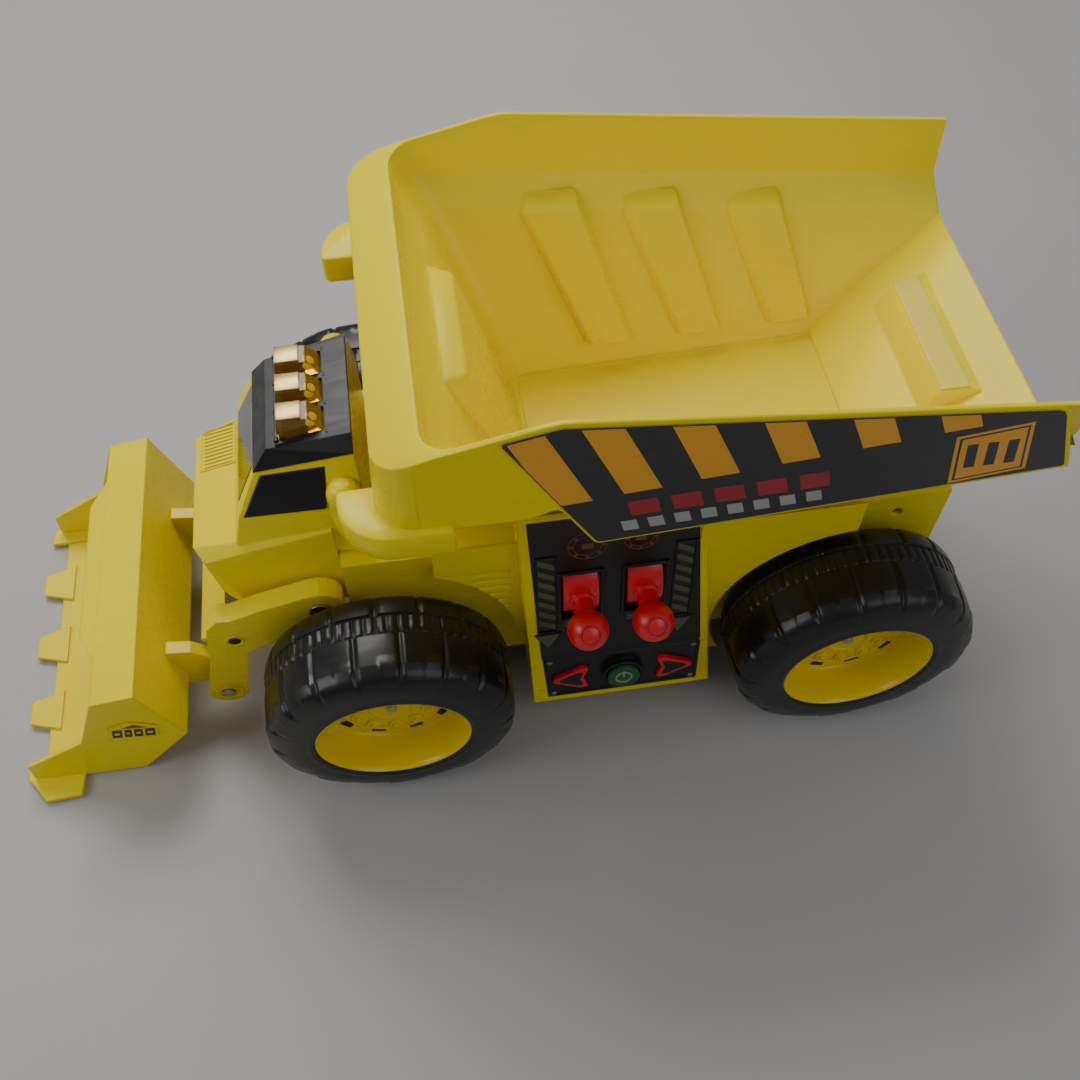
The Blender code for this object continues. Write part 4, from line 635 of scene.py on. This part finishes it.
def bed_ribs(piece):
    """Tapered ribs that stand out of both sloping sides."""
    for top_x, foot_x in RIB_ENDS:
        top_z = ledge_z(SLOPE_DROP)(top_x)
        for side in (-1, 1):
            points = []
            for x, z, half in ((top_x, top_z, RIB_TOP_HALF), (foot_x, RIB_FOOT_UP, RIB_FOOT_HALF)):
                wall = slope_half(x, z)
                for end in (-1, 1):
                    points.append(at(x + end * half, side * (wall - 0.0062), z + 0.0022))
                    points.append(at(x + end * (half + 0.0034), side * (wall + 0.0012), z - 0.0016))
            beside = side * (slope_half(top_x, top_z) + 0.0052)
            for end in (-1, 1):
                points.append(at(top_x + end * RIB_TOP_HALF, beside, top_z + 0.0058))
            piece.hull(YELLOW, points, bevel=0.0012)


def bed_nose(piece):
    """The front skirt under the spill guard, with its L-shaped shoulders."""

    def nose(half, front, corner, height):
        return bowed(0.0, half, front, corner, height, ())

    piece.grid(
        YELLOW,
        [
            nose(BED_HALF, NOSE_X, 0.0150, rim_z(0.0008)),
            nose(BED_HALF, 0.1040, 0.0165, lambda x: 0.2100),
            nose(BED_HALF, 0.1045, 0.0170, lambda x: 0.1992),
            nose(0.0903, 0.1041, 0.0168, lambda x: 0.1984),
            nose(0.0885, 0.1023, 0.0160, lambda x: 0.1981),
            nose(WALL_INNER_HALF, 0.0999, 0.0130, rim_z(0.0035)),
        ],
        wrap=False,
    )
    shoulder = [
        (0.0738, 0.0850),
        (0.0742, 0.0945),
        (0.1195, 0.0945),
        (0.1195, 0.0670),
        (0.1030, 0.0668),
        (0.1030, 0.0830),
    ]
    outline = rounded(shoulder, [0, 0.002, 0.0215, 0.003, 0, 0.006], 8)
    for side in (-1, 1):
        points = [(MID + x, side * y) for x, y in outline]
        piece.prism(YELLOW, points, SHOULDER_UNDER, SHOULDER_TOP, bevel=0.0022, upright=True)


def load_space(piece):
    """The rims, ledges, sloping sides, tail ramp and floor, and the skin below them."""
    inside = [
        round_bed(BED_HALF, NOSE_X, 0.0150, rim_z(0.0008)),
        round_bed(0.0905, 0.1021, 0.0149, rim_z(0.0003)),
        round_bed(0.0900, 0.1014, 0.0146, rim_z()),
        round_bed(0.0888, 0.0834, 0.0126, rim_z()),
        round_bed(WALL_INNER_HALF, 0.0828, 0.0123, rim_z(0.0004)),
        round_bed(0.0880, 0.0825, 0.0120, rim_z(0.0012)),
        round_bed(0.0848, 0.0800, 0.0115, ledge_z(-0.0012)),
        round_bed(0.0840, 0.0792, 0.0112, ledge_z(0.0004)),
        round_bed(0.0745, 0.0710, 0.0100, ledge_z(0.0100), 0.0685),
        round_bed(SLOPE_TOP_HALF, 0.0700, 0.0098, ledge_z(0.0112), 0.0676),
        round_floor(0.0424, 0.0358, 0.0066, floor_z(-0.0008)),
        round_floor(0.0414, 0.0346, 0.0060, floor_z()),
        round_floor(0.0402, 0.0334, 0.0056, floor_z()),
        round_floor(0.0398, 0.0330, 0.0054, floor_z(0.0006)),
    ]
    under = [
        round_bed(0.0880, 0.0824, 0.0120, ledge_z(0.0018)),
        round_bed(0.0760, 0.0724, 0.0110, ledge_z(0.0130), 0.0700),
        round_floor(0.0444, 0.0376, 0.0070, floor_z(0.0024)),
    ]
    slope = inside[9:]
    for rows in (inside, under):
        piece.grid(YELLOW, rows, wrap=False)
    for rows in (inside, under):
        across(piece, rows[-1])
    for rows in (slope, under[1:]):
        piece.grid(YELLOW, [[row[0], row[-1]] for row in rows], wrap=False)
    for k in (0, -1):
        piece.grid(YELLOW, [[row[k] for row in inside[7:10]], [under[i][k] for i in (0, 0, 1)]], wrap=False)
    piece.grid(YELLOW, [[slope[0][0], slope[0][-1]], [under[1][0], under[1][-1]]], wrap=False)


def bed_sides(piece):
    """The tall outer walls behind the printed panels."""
    corners = [
        (TAIL, 0.1875),
        (0.0173, 0.1750),
        (0.0327, 0.2028),
        (0.0450, 0.1980),
        (0.0874, 0.1980),
        (0.0874, 0.2398),
        (0.0777, 0.2431),
        (PEAK_X, 0.2531),
        (-0.1675, 0.2279),
    ]
    outline = rounded(corners, [0, 0.004, 0.004, 0, 0, 0, 0.010, 0.010, 0.007])
    for low, high in ((WALL_INNER_HALF, BED_HALF), (-BED_HALF, -WALL_INNER_HALF)):
        piece.prism(YELLOW, [(MID + x, z) for x, z in outline], low, high)


def bed_blocks(piece):
    """The raised block on the front slope and the flatter one on the tail ramp, whose top carries a painted
    highlight.
    """
    front = [
        (0.0754, 0.0360, 0.2215),
        (0.0610, 0.0300, 0.2192),
        (0.0768, 0.0360, 0.2150),
        (0.0420, 0.0290, 0.1500),
        (0.0360, 0.0300, 0.1380),
        (0.0640, 0.0360, 0.2100),
    ]
    tail = [
        (-0.1500, 0.0350, 0.1775),
        (-0.1620, 0.0368, 0.1795),
        (-0.1440, 0.0345, 0.1620),
        (-0.1680, 0.0390, 0.1780),
    ]
    # A thin paler layer on the block's top: painted highlight.
    top = [(x, y - 0.0006, z + lift) for x, y, z in tail[:2] for lift in (0.0, 0.0004)]
    for material, corners, soft in ((YELLOW, front, 0.0014), (YELLOW, tail, 0.0008), (TOP_HIGHLIGHT, top, 0.0)):
        piece.hull(material, [at(x, side * y, z) for x, y, z in corners for side in (-1, 1)], bevel=soft)


def bed_lugs(piece):
    """The two lugs that hang from the floor round the hinge rod."""
    eye = []
    for k in range(13):
        a = pi + pi * k / 12
        eye.append((HINGE[0] + LUG_EYE * cos(a), HINGE[2] + LUG_EYE * sin(a)))
    outline = [*eye, (MID - 0.1070, 0.1412), (MID - 0.1175, 0.1415), (MID - 0.1430, 0.1592)]
    for low, high in ((-LUG_OUTER, -LUG_INNER), (LUG_INNER, LUG_OUTER)):
        piece.prism(YELLOW, outline, low, high)


def bed():
    piece = Piece("bed_look", "bed")
    load_space(piece)
    bed_sides(piece)
    bed_nose(piece)
    bed_ribs(piece)
    bed_blocks(piece)
    bed_lugs(piece)
    piece.done("dump_bed", angle=30)


bed()


# ---------------------------------------------------------------- printed side panels
PANEL_FENCE = [
    (-0.1780, 0.1900),
    (0.0165, 0.1772),
    (0.0308, 0.2030),
    (0.0537, 0.2460),
    (0.0320, 0.2508),
    (-0.1650, 0.2260),
]
BAR_FRONTS = (0.0559, 0.0258, -0.0077, -0.0424, -0.0771, -0.1122)
BAR_WIDTH = 0.0150
BAR_LEAN = 0.426
BAR_TOP = 0.2600
BAR_FOOT, BAR_FOOT_X, BAR_FOOT_SLOPE = 0.2062, 0.0456, 0.100
PRINT_LAYER = 0.00006
BADGE = ((-0.1290, 0.1871), (-0.1237, 0.2180), (-0.1544, 0.2220), (-0.1610, 0.1912))
BADGE_BAR = ((-0.0035, -0.0075), (0.0010, -0.0075), (0.0035, 0.0075), (-0.0010, 0.0075))
RED_BLOCK = ((-0.0145, -0.0042), (-0.0025, -0.0046), (0.0, 0.0052), (-0.0120, 0.0056))
GREY_BLOCK = ((-0.0082, -0.0032), (-0.0018, -0.0034), (0.0, 0.0034), (-0.0064, 0.0036))


def moved(shape, x, z):
    return [(x + a, z + b) for a, b in shape]


def decal(side):
    """Hazard stripes, a framed badge and two rows of blocks on the dark panel."""
    low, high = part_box(f"bed_decal_{side}")
    sign = 1 if side == "left" else -1
    face = high.y if sign > 0 else low.y
    piece = Piece(f"bed_print_{side}", "bed")

    def sticker(material, outline, layer=1):
        inside = clipped(outline, PANEL_FENCE)
        if len(inside) < 3:
            return
        near, far = sorted((face, face + sign * PRINT_LAYER * layer))
        piece.prism(material, [(MID + x, z) for x, z in inside], near, far)

    for x in BAR_FRONTS:
        base = BAR_FOOT + (BAR_FOOT_X - x) * BAR_FOOT_SLOPE
        lean = (BAR_TOP - base) * BAR_LEAN
        front = x + (BAR_TOP - 0.2520 + (PEAK_X - x) * 0.12) * BAR_LEAN
        rear = front - BAR_WIDTH
        foot = [(rear - lean, base + 0.0012), (front - lean, base)]
        sticker(PRINT_ORANGE, [foot[0], (rear, BAR_TOP), (front, BAR_TOP), foot[1]])
    sticker(PRINT_ORANGE, BADGE[::-1])
    middle = sum((Vector(corner) for corner in BADGE), Vector((0, 0))) / len(BADGE)
    for scale, material, layer in ((0.90, PRINT_BLACK, 2), (0.84, PRINT_ORANGE, 3)):
        inner = [tuple(middle + (Vector(corner) - middle) * scale) for corner in BADGE]
        sticker(material, inner[::-1], layer)
    for k in (-1, 0, 1):
        sticker(PRINT_BLACK, moved(BADGE_BAR, middle.x - k * 0.0085, middle.y), 4)
    for k in range(5):
        sticker(PRINT_RED, moved(RED_BLOCK, 0.0060 - k * 0.0172, 0.1975 + k * 0.0008))
    for k in range(8):
        sticker(PRINT_GREY, moved(GREY_BLOCK, 0.0080 - k * 0.0108, 0.1862 + k * 0.0006))
    piece.done(slot="printed_decal")


decal("left")
decal("right")


def scoop_label(side):
    """Dark blocks below a small red peak on the bucket's side label."""
    low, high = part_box(f"bucket_label_{side}")
    sign = 1 if side == "left" else -1
    face = high.y if sign > 0 else low.y
    piece = Piece(f"bucket_print_{side}", "scoop")
    top_front, top_rear = Vector((0.2541, 0.0490)), Vector((0.2325, 0.0463))
    down = Vector((0.0024, -0.0106))

    def mark(material, spots, layer=1):
        outline = [top_front + (top_rear - top_front) * u + down * v for u, v in spots]
        near, far = sorted((face, face + sign * PRINT_LAYER * layer))
        piece.prism(material, [(MID + p.x, p.y) for p in outline], near, far)

    for start, end in ((0.03, 0.25), (0.30, 0.46), (0.51, 0.70), (0.75, 0.97)):
        mark(PRINT_BLACK, [(start, 0.12), (end, 0.12), (end, 0.88), (start, 0.88)])
        mark(YELLOW, [(start + 0.05, 0.42), (end - 0.05, 0.42), (end - 0.05, 0.60), (start + 0.05, 0.60)], 2)
    mark(PRINT_RED, [(0.22, 0.02), (0.50, -0.34), (0.82, 0.02)])
    piece.done(slot="printed_decal")


scoop_label("left")
scoop_label("right")


# ---------------------------------------------------------------- console
POD_TILT = radians(6.15)
POD_FOOT = at(0, 0.0820, 0.0165)
CONSOLE = Matrix.Translation(POD_FOOT) @ Matrix.Rotation(POD_TILT, 4, "X")
LEVER_X = {"front": 0.0190, "rear": -0.0115}
LEVER_UP = 0.0890
LEVER_AXIS_IN = 0.0175
LEVER_HALF = 0.0085
SLOT_HALF, SLOT_HALF_HEIGHT = 0.0094, 0.0166
KNOB = Vector((0, 0.0205, LEVER_UP))
KNOB_RADIUS = 0.0097
KNOB_TURN = radians(36)
BUTTON_UP = 0.0205
POWER_X = -0.0030
ARROW_OFFSET = 0.0270
STRIP_FOOT, STRIP_TOP = 0.0630, 0.1190
STRIP_PITCH = 0.0076
STRIP_BAR = ((-0.0040, 0.0), (0.0040, 0.0050), (0.0040, 0.0088), (-0.0040, 0.0038))


def plate(piece, material, outline, high, bevel=0.0):
    """A flat mark that stands a little out of the console face."""
    piece.prism(material, outline, -0.0002, high, bevel)


def frame_round(piece, material, left, right, bottom, top, width, high):
    """A raised rectangular frame on the console face."""
    for a, b, c, d in (
        (left - width, left, bottom - width, top + width),
        (right, right + width, bottom - width, top + width),
        (left, right, bottom - width, bottom),
        (left, right, top, top + width),
    ):
        piece.box(material, (a, -0.0004, c), (b, high, d), bevel=0.0003)


def lever_slots(piece):
    for x in LEVER_X.values():
        low, high = LEVER_UP - SLOT_HALF_HEIGHT, LEVER_UP + SLOT_HALF_HEIGHT
        frame_round(piece, BLACK, x - SLOT_HALF, x + SLOT_HALF, low, high, 0.0017, 0.0011)
        for k in range(4):
            z = LEVER_UP - 0.0206 - k * 0.0012
            piece.box(STEEL, (x - 0.0075, -0.0002, z), (x + 0.0075, 0.0001, z + 0.0003))


def hazard_strips(piece):
    """Framed strips of slanted bars beside the levers, each over a pointer."""
    for x in (0.0352, -0.0300):
        frame_round(piece, BLACK, x - 0.0042, x + 0.0042, STRIP_FOOT, STRIP_TOP, 0.0009, 0.0008)
        for k in range(7):
            z = STRIP_FOOT + 0.0010 + k * STRIP_PITCH
            bar = moved(STRIP_BAR, x, z)
            plate(piece, PRINT_OLIVE, [(a, min(b, STRIP_TOP - 0.0003)) for a, b in bar], 0.0002)
        plate(piece, BLACK, [(x, 0.0486), (x + 0.0068, 0.0614), (x - 0.0068, 0.0614)], 0.0008, bevel=0.0002)
        plate(piece, PRINT_OLIVE, [(x, 0.0500), (x + 0.0056, 0.0606), (x - 0.0056, 0.0606)], 0.0010)


def dials(piece):
    """Round printed dials above the levers."""
    for x, z, r in ((0.0160, 0.1245, 0.0090), (-0.0085, 0.1255, 0.0078)):
        for radius in (r, r * 0.72):
            piece.ring(PRINT_RUST, radius, 0.00022, (x, 0.0, z), Y_AXIS)
        for k in range(8):
            a = 2 * pi * k / 8
            spot = Vector((x + r * 0.86 * cos(a), 0, z + r * 0.86 * sin(a)))
            piece.rod(PRINT_RUST, r * 0.10, spot - Y_AXIS * 0.0002, spot + Y_AXIS * 0.0002, 8)
        piece.box(PRINT_RUST, (x - r * 0.3, -0.0002, z - r * 0.2), (x + r * 0.3, 0.0002, z + r * 0.2))


def button_surround(piece):
    """The strip above the button panel, its raised border, the power button's collar and the screws, with painted
    shade in their slots.
    """
    plate(piece, BLACK, [(-0.0426, 0.0370), (0.0381, 0.0370), (0.0386, 0.0412), (-0.0424, 0.0412)], 0.0001)
    border = [(-0.0420, 0.0052), (0.0346, 0.0052), (0.0368, 0.0370), (-0.0418, 0.0370)]
    for start, end in zip(border, border[1:] + border[:1]):
        piece.rod(BLACK, 0.0007, (start[0], 0.0, start[1]), (end[0], 0.0, end[1]), 12)
    piece.ring(BLACK, 0.0106, 0.0007, (POWER_X, 0.0030, BUTTON_UP), Y_AXIS)
    for x, z in ((-0.0402, 0.0068), (0.0328, 0.0068), (-0.0398, 0.0352), (0.0346, 0.0352)):
        piece.rod(STEEL, 0.0015, (x, -0.0002, z), (x, 0.0004, z), 20, bevel=0.0002)
        # A near-black bar across each screw head: painted shade in its slot.
        piece.box(PAINTED_SHADE, (x - 0.0011, 0.0003, z - 0.0002), (x + 0.0011, 0.0005, z + 0.0002))


def console_face():
    piece = Piece("console_details", "truck", CONSOLE)
    lever_slots(piece)
    hazard_strips(piece)
    dials(piece)
    button_surround(piece)
    piece.done(slot="black_plastic")


def arrow(x, sign, scale):
    """A rounded arrow head pointing along X, about its own middle."""
    corners = [
        (-0.0095, -0.0085),
        (-0.0062, 0.0),
        (-0.0095, 0.0085),
        (-0.0045, 0.0085),
        (0.0095, 0.0013),
        (0.0095, -0.0013),
        (-0.0045, -0.0085),
    ]
    soft = rounded(corners, [0.0014, 0.0020, 0.0014, 0.0020, 0.0012, 0.0012, 0.0020], 3)
    middle = -0.0012
    return [(x + sign * (middle + (a - middle) * scale), BUTTON_UP + b * scale) for a, b in soft]


def keys():
    """The two arrow buttons, and the mark on the power button."""
    for name, sign in (("forward", 1), ("reverse", -1)):
        x = POWER_X + sign * ARROW_OFFSET
        piece = Piece(f"{name}_button_look", f"{name}_key", CONSOLE)
        piece.prism(RED, arrow(x, sign, 1.0), -0.0056, 0.0022, bevel=0.0005)
        piece.prism(BLACK, arrow(x, sign, 0.66), 0.0010, 0.00245)
        piece.done(f"{name}_button")
    piece = Piece("power_button_mark", "power_key", CONSOLE)
    centre = Vector((POWER_X, 0.0048, BUTTON_UP))
    piece.ring(MINT, 0.0041, 0.0005, centre, Y_AXIS)
    piece.ring(GREEN, 0.0074, 0.0005, centre, Y_AXIS)
    low, high = (POWER_X - 0.0005, 0.0046, BUTTON_UP + 0.0008), (POWER_X + 0.0005, 0.0052, BUTTON_UP + 0.0056)
    piece.box(MINT, low, high)
    piece.done(slot="green_plastic")


def levers():
    """A curved shield, a stalk and a ball with a ring pressed into its cap."""
    cap = Vector((0, cos(KNOB_TURN), sin(KNOB_TURN)))
    for name, x in LEVER_X.items():
        piece = Piece(f"lever_{name}_look", f"{name}_lever", CONSOLE)
        axis = Vector((x, -LEVER_AXIS_IN, LEVER_UP))
        points = []
        for radius, start, end, steps in ((0.0210, -64, 64, 16), (0.0060, 116, 244, 6)):
            for k in range(steps + 1):
                a = radians(start + (end - start) * k / steps)
                for half in (-LEVER_HALF, LEVER_HALF):
                    points.append(axis + Vector((half, radius * cos(a), radius * sin(a))))
        piece.hull(RED, points, bevel=0.0005)
        centre = KNOB + X_AXIS * x
        piece.rod(RED, 0.0050, (x, 0.0010, LEVER_UP), centre, 32)
        piece.rod(RED, 0.0062, (x, 0.0030, LEVER_UP), (x, 0.0048, LEVER_UP), 32, bevel=0.0005)
        piece.ball(RED, KNOB_RADIUS, centre)
        piece.ring(RED, 0.0047, 0.0003, centre + cap * 0.0086, cap)
        piece.ring(DARK_RED, 0.0042, 0.0002, centre + cap * 0.0088, cap)
        piece.done(f"lever_{name}")


console_face()
keys()
levers()


# ---------------------------------------------------------------- cab, lamps and loader details
HOOD_REAR_X, HOOD_REAR_UP = 0.1286, 0.1440
HOOD_LENGTH, HOOD_FALL = 0.0664, 0.0177
LAMP_HALF = 0.0049


def hood_z(x):
    return HOOD_REAR_UP - (x - HOOD_REAR_X) * HOOD_FALL / HOOD_LENGTH


def hood_louvre_shade_and_border():
    """Thin lines of painted shade between the louvre ribs, and a border, on the right half of the hood."""
    piece = Piece("hood_louvre_shade_and_border", "truck")

    def spot(x, y):
        return at(x, y, hood_z(x) + 0.0001)

    for k in range(11):
        y = -0.0350 + k * 0.0023
        # Each line is painted shade in a groove between two louvre ribs.
        piece.line(GROOVE_SHADE, [spot(0.1755, y), spot(0.1900, y)], 0.00032)
    corners = [(0.1742, -0.0362), (0.1915, -0.0340), (0.1915, -0.0105), (0.1742, -0.0105), (0.1742, -0.0362)]
    piece.line(YELLOW, [spot(x, y) for x, y in corners], 0.0004)
    piece.done(slot="yellow_plastic")


def lamps():
    """Each lens's painted reflection on top, its glowing ball of painted glint and its painted shade at the foot,
    and the screws of the lamp frame.
    """
    piece = Piece("lamp_screws_and_painted_lens_light", "truck")
    for k in range(3):
        low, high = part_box(f"beacon_lens_{k + 1}")
        y = (low.y + high.y) / 2
        front, rear = high.x - 0.0008, low.x + 0.0085
        # A thin pale gold slab over the lens top: painted reflection.
        reflection_low = (rear, y - LAMP_HALF, high.z - 0.0004)
        reflection_high = (front, y + LAMP_HALF, high.z + 0.0003)
        piece.box(LENS_REFLECTION, reflection_low, reflection_high, bevel=0.0002)
        # A faintly glowing ball low in the lens: painted glint.
        piece.ball(LENS_GLINT, 0.0021, (rear - 0.0030, y, low.z + 0.0060))
        # A near-black slab at the foot of the lens: painted shade.
        shade_low, shade_high = (low.x + 0.0016, y - 0.0042), (high.x - 0.0016, y + 0.0042)
        piece.box(PAINTED_SHADE, (*shade_low, low.z + 0.0002), (*shade_high, low.z + 0.0016))
    for x, z in ((MID + 0.1225, 0.1871), (MID + 0.1448, 0.1853)):
        for y in (-0.0244, -0.0083, 0.0083, 0.0244):
            piece.rod(BLACK, 0.0011, (x, y, z - 0.001), (x, y, z + 0.0007), 12, bevel=0.0002)
    piece.done(slot="amber_lens")


def loader_rings():
    """Round rings on the arm ends and the elbow holes, painted shade in the elbow holes and a line of painted
    shade along the bucket's fold.
    """
    pivot = JOINTS["bucket_tilt"]["pos_m"]
    piece = Piece("arm_caps", "loader")
    for side in ("left", "right"):
        low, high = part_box(f"loader_arm_{side}")
        sign = 1 if side == "left" else -1
        face = high.y if sign > 0 else low.y
        centre = Vector((pivot[0], face, pivot[2]))
        piece.ring(YELLOW, 0.0076, 0.0006, centre, Y_AXIS)
        piece.ring(YELLOW, 0.0050, 0.0007, centre + Y_AXIS * sign * 0.0002, Y_AXIS)
        elbow = Vector((MID + 0.1862, face, 0.0800))
        piece.ring(YELLOW, 0.0042, 0.0006, elbow, Y_AXIS)
        # A near-black disc in each elbow hole: painted shade.
        piece.rod(PAINTED_SHADE, 0.0030, elbow - Y_AXIS * sign * 0.001, elbow + Y_AXIS * sign * 0.0001, 24)
    piece.done(slot="yellow_plastic")
    low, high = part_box("bucket")
    piece = Piece("bucket_fold_shade", "scoop")
    fold = MID + 0.2790
    # A thin darker line: painted shade along the bucket's fold.
    piece.line(GROOVE_SHADE, [(fold, low.y + 0.016, low.z + 0.0019), (fold, high.y - 0.016, low.z + 0.0019)], 0.0003)
    piece.done(slot="yellow_plastic")


hood_louvre_shade_and_border()
lamps()
loader_rings()


# ---------------------------------------------------------------- camera, light and floor
SENSOR = 36
LENS = 37.8333
CAMERA_PLACE = at(0.0758, 0.3449, 0.5629)
YAW, PITCH, ROLL = radians(-7.89), radians(55.98), radians(-0.73)
AIM = (0, 0, 0.1)
FLOOR_HALF, FLOOR_GAP = 4, 0.0002


def camera():
    """A camera that looks down on the left side."""
    view = Vector((sin(YAW) * cos(PITCH), -cos(YAW) * cos(PITCH), -sin(PITCH)))
    right = view.cross(Z_AXIS).normalized()
    up = right.cross(view)
    tilted_right = right * cos(ROLL) + up * sin(ROLL)
    tilted_up = up * cos(ROLL) - right * sin(ROLL)
    data = bpy.data.cameras.new("camera")
    data.sensor_width = SENSOR
    data.lens = LENS
    data.clip_start = 0.01
    made = bpy.data.objects.new("camera", data)
    turn = Matrix((tilted_right, tilted_up, -view)).transposed().to_4x4()
    made.matrix_world = Matrix.Translation(CAMERA_PLACE) @ turn
    bpy.context.scene.collection.objects.link(made)
    bpy.context.scene.camera = made


def area_light(name, power, size, place, colour=(1, 1, 1)):
    data = bpy.data.lights.new(name, "AREA")
    data.energy = power
    data.shape = "RECTANGLE"
    data.size, data.size_y = size
    data.color = colour
    made = bpy.data.objects.new(name, data)
    made.location = place
    made.rotation_euler = (Vector(AIM) - Vector(place)).to_track_quat("-Z", "Y").to_euler()
    bpy.context.scene.collection.objects.link(made)
    return made


def world_light():
    """A dim sky, brighter overhead."""
    world = bpy.data.worlds.new("studio")
    world.use_nodes = True
    tree = world.node_tree
    back = tree.nodes["Background"]
    back.inputs["Strength"].default_value = 0.28
    place = node(tree, "ShaderNodeTexCoord")
    split = node(tree, "ShaderNodeSeparateXYZ")
    tree.links.new(place.outputs["Generated"], split.inputs["Vector"])
    sky = node(tree, "ShaderNodeValToRGB")
    sky.color_ramp.elements[0].position = 0.35
    sky.color_ramp.elements[0].color = (0.30, 0.30, 0.31, 1)
    sky.color_ramp.elements[1].position = 0.95
    sky.color_ramp.elements[1].color = (0.95, 0.96, 1.0, 1)
    shift = node(tree, "ShaderNodeMapRange")
    shift.inputs["From Min"].default_value = -1
    tree.links.new(split.outputs["Z"], shift.inputs["Value"])
    tree.links.new(shift.outputs["Result"], sky.inputs["Fac"])
    tree.links.new(sky.outputs["Color"], back.inputs["Color"])
    bpy.context.scene.world = world


def studio():
    """Three soft lights and a pale floor."""
    world_light()
    area_light("key", 12, (0.9, 0.6), (0.15, -0.75, 1.15), (1, 0.985, 0.96))
    area_light("fill", 4, (1.2, 1.2), (-0.9, 0.9, 1.1), (0.95, 0.97, 1.0))
    area_light("front", 4, (0.7, 0.7), (1.1, 0.2, 0.8))
    mesh = bpy.data.meshes.new("floor")
    corners = [(-1, -1), (1, -1), (1, 1), (-1, 1)]
    mesh.from_pydata([(x * FLOOR_HALF, y * FLOOR_HALF, 0) for x, y in corners], [], [(0, 1, 2, 3)])
    floor_top = bpy.data.objects.new("floor", mesh)
    floor_top.location.z = -FLOOR_GAP
    mesh.materials.append(finish("pale_floor", (0.46, 0.45, 0.44), 0.55, vary=0.03, grain=0.02, wear=0.0))
    bpy.context.scene.collection.objects.link(floor_top)


camera()
studio()
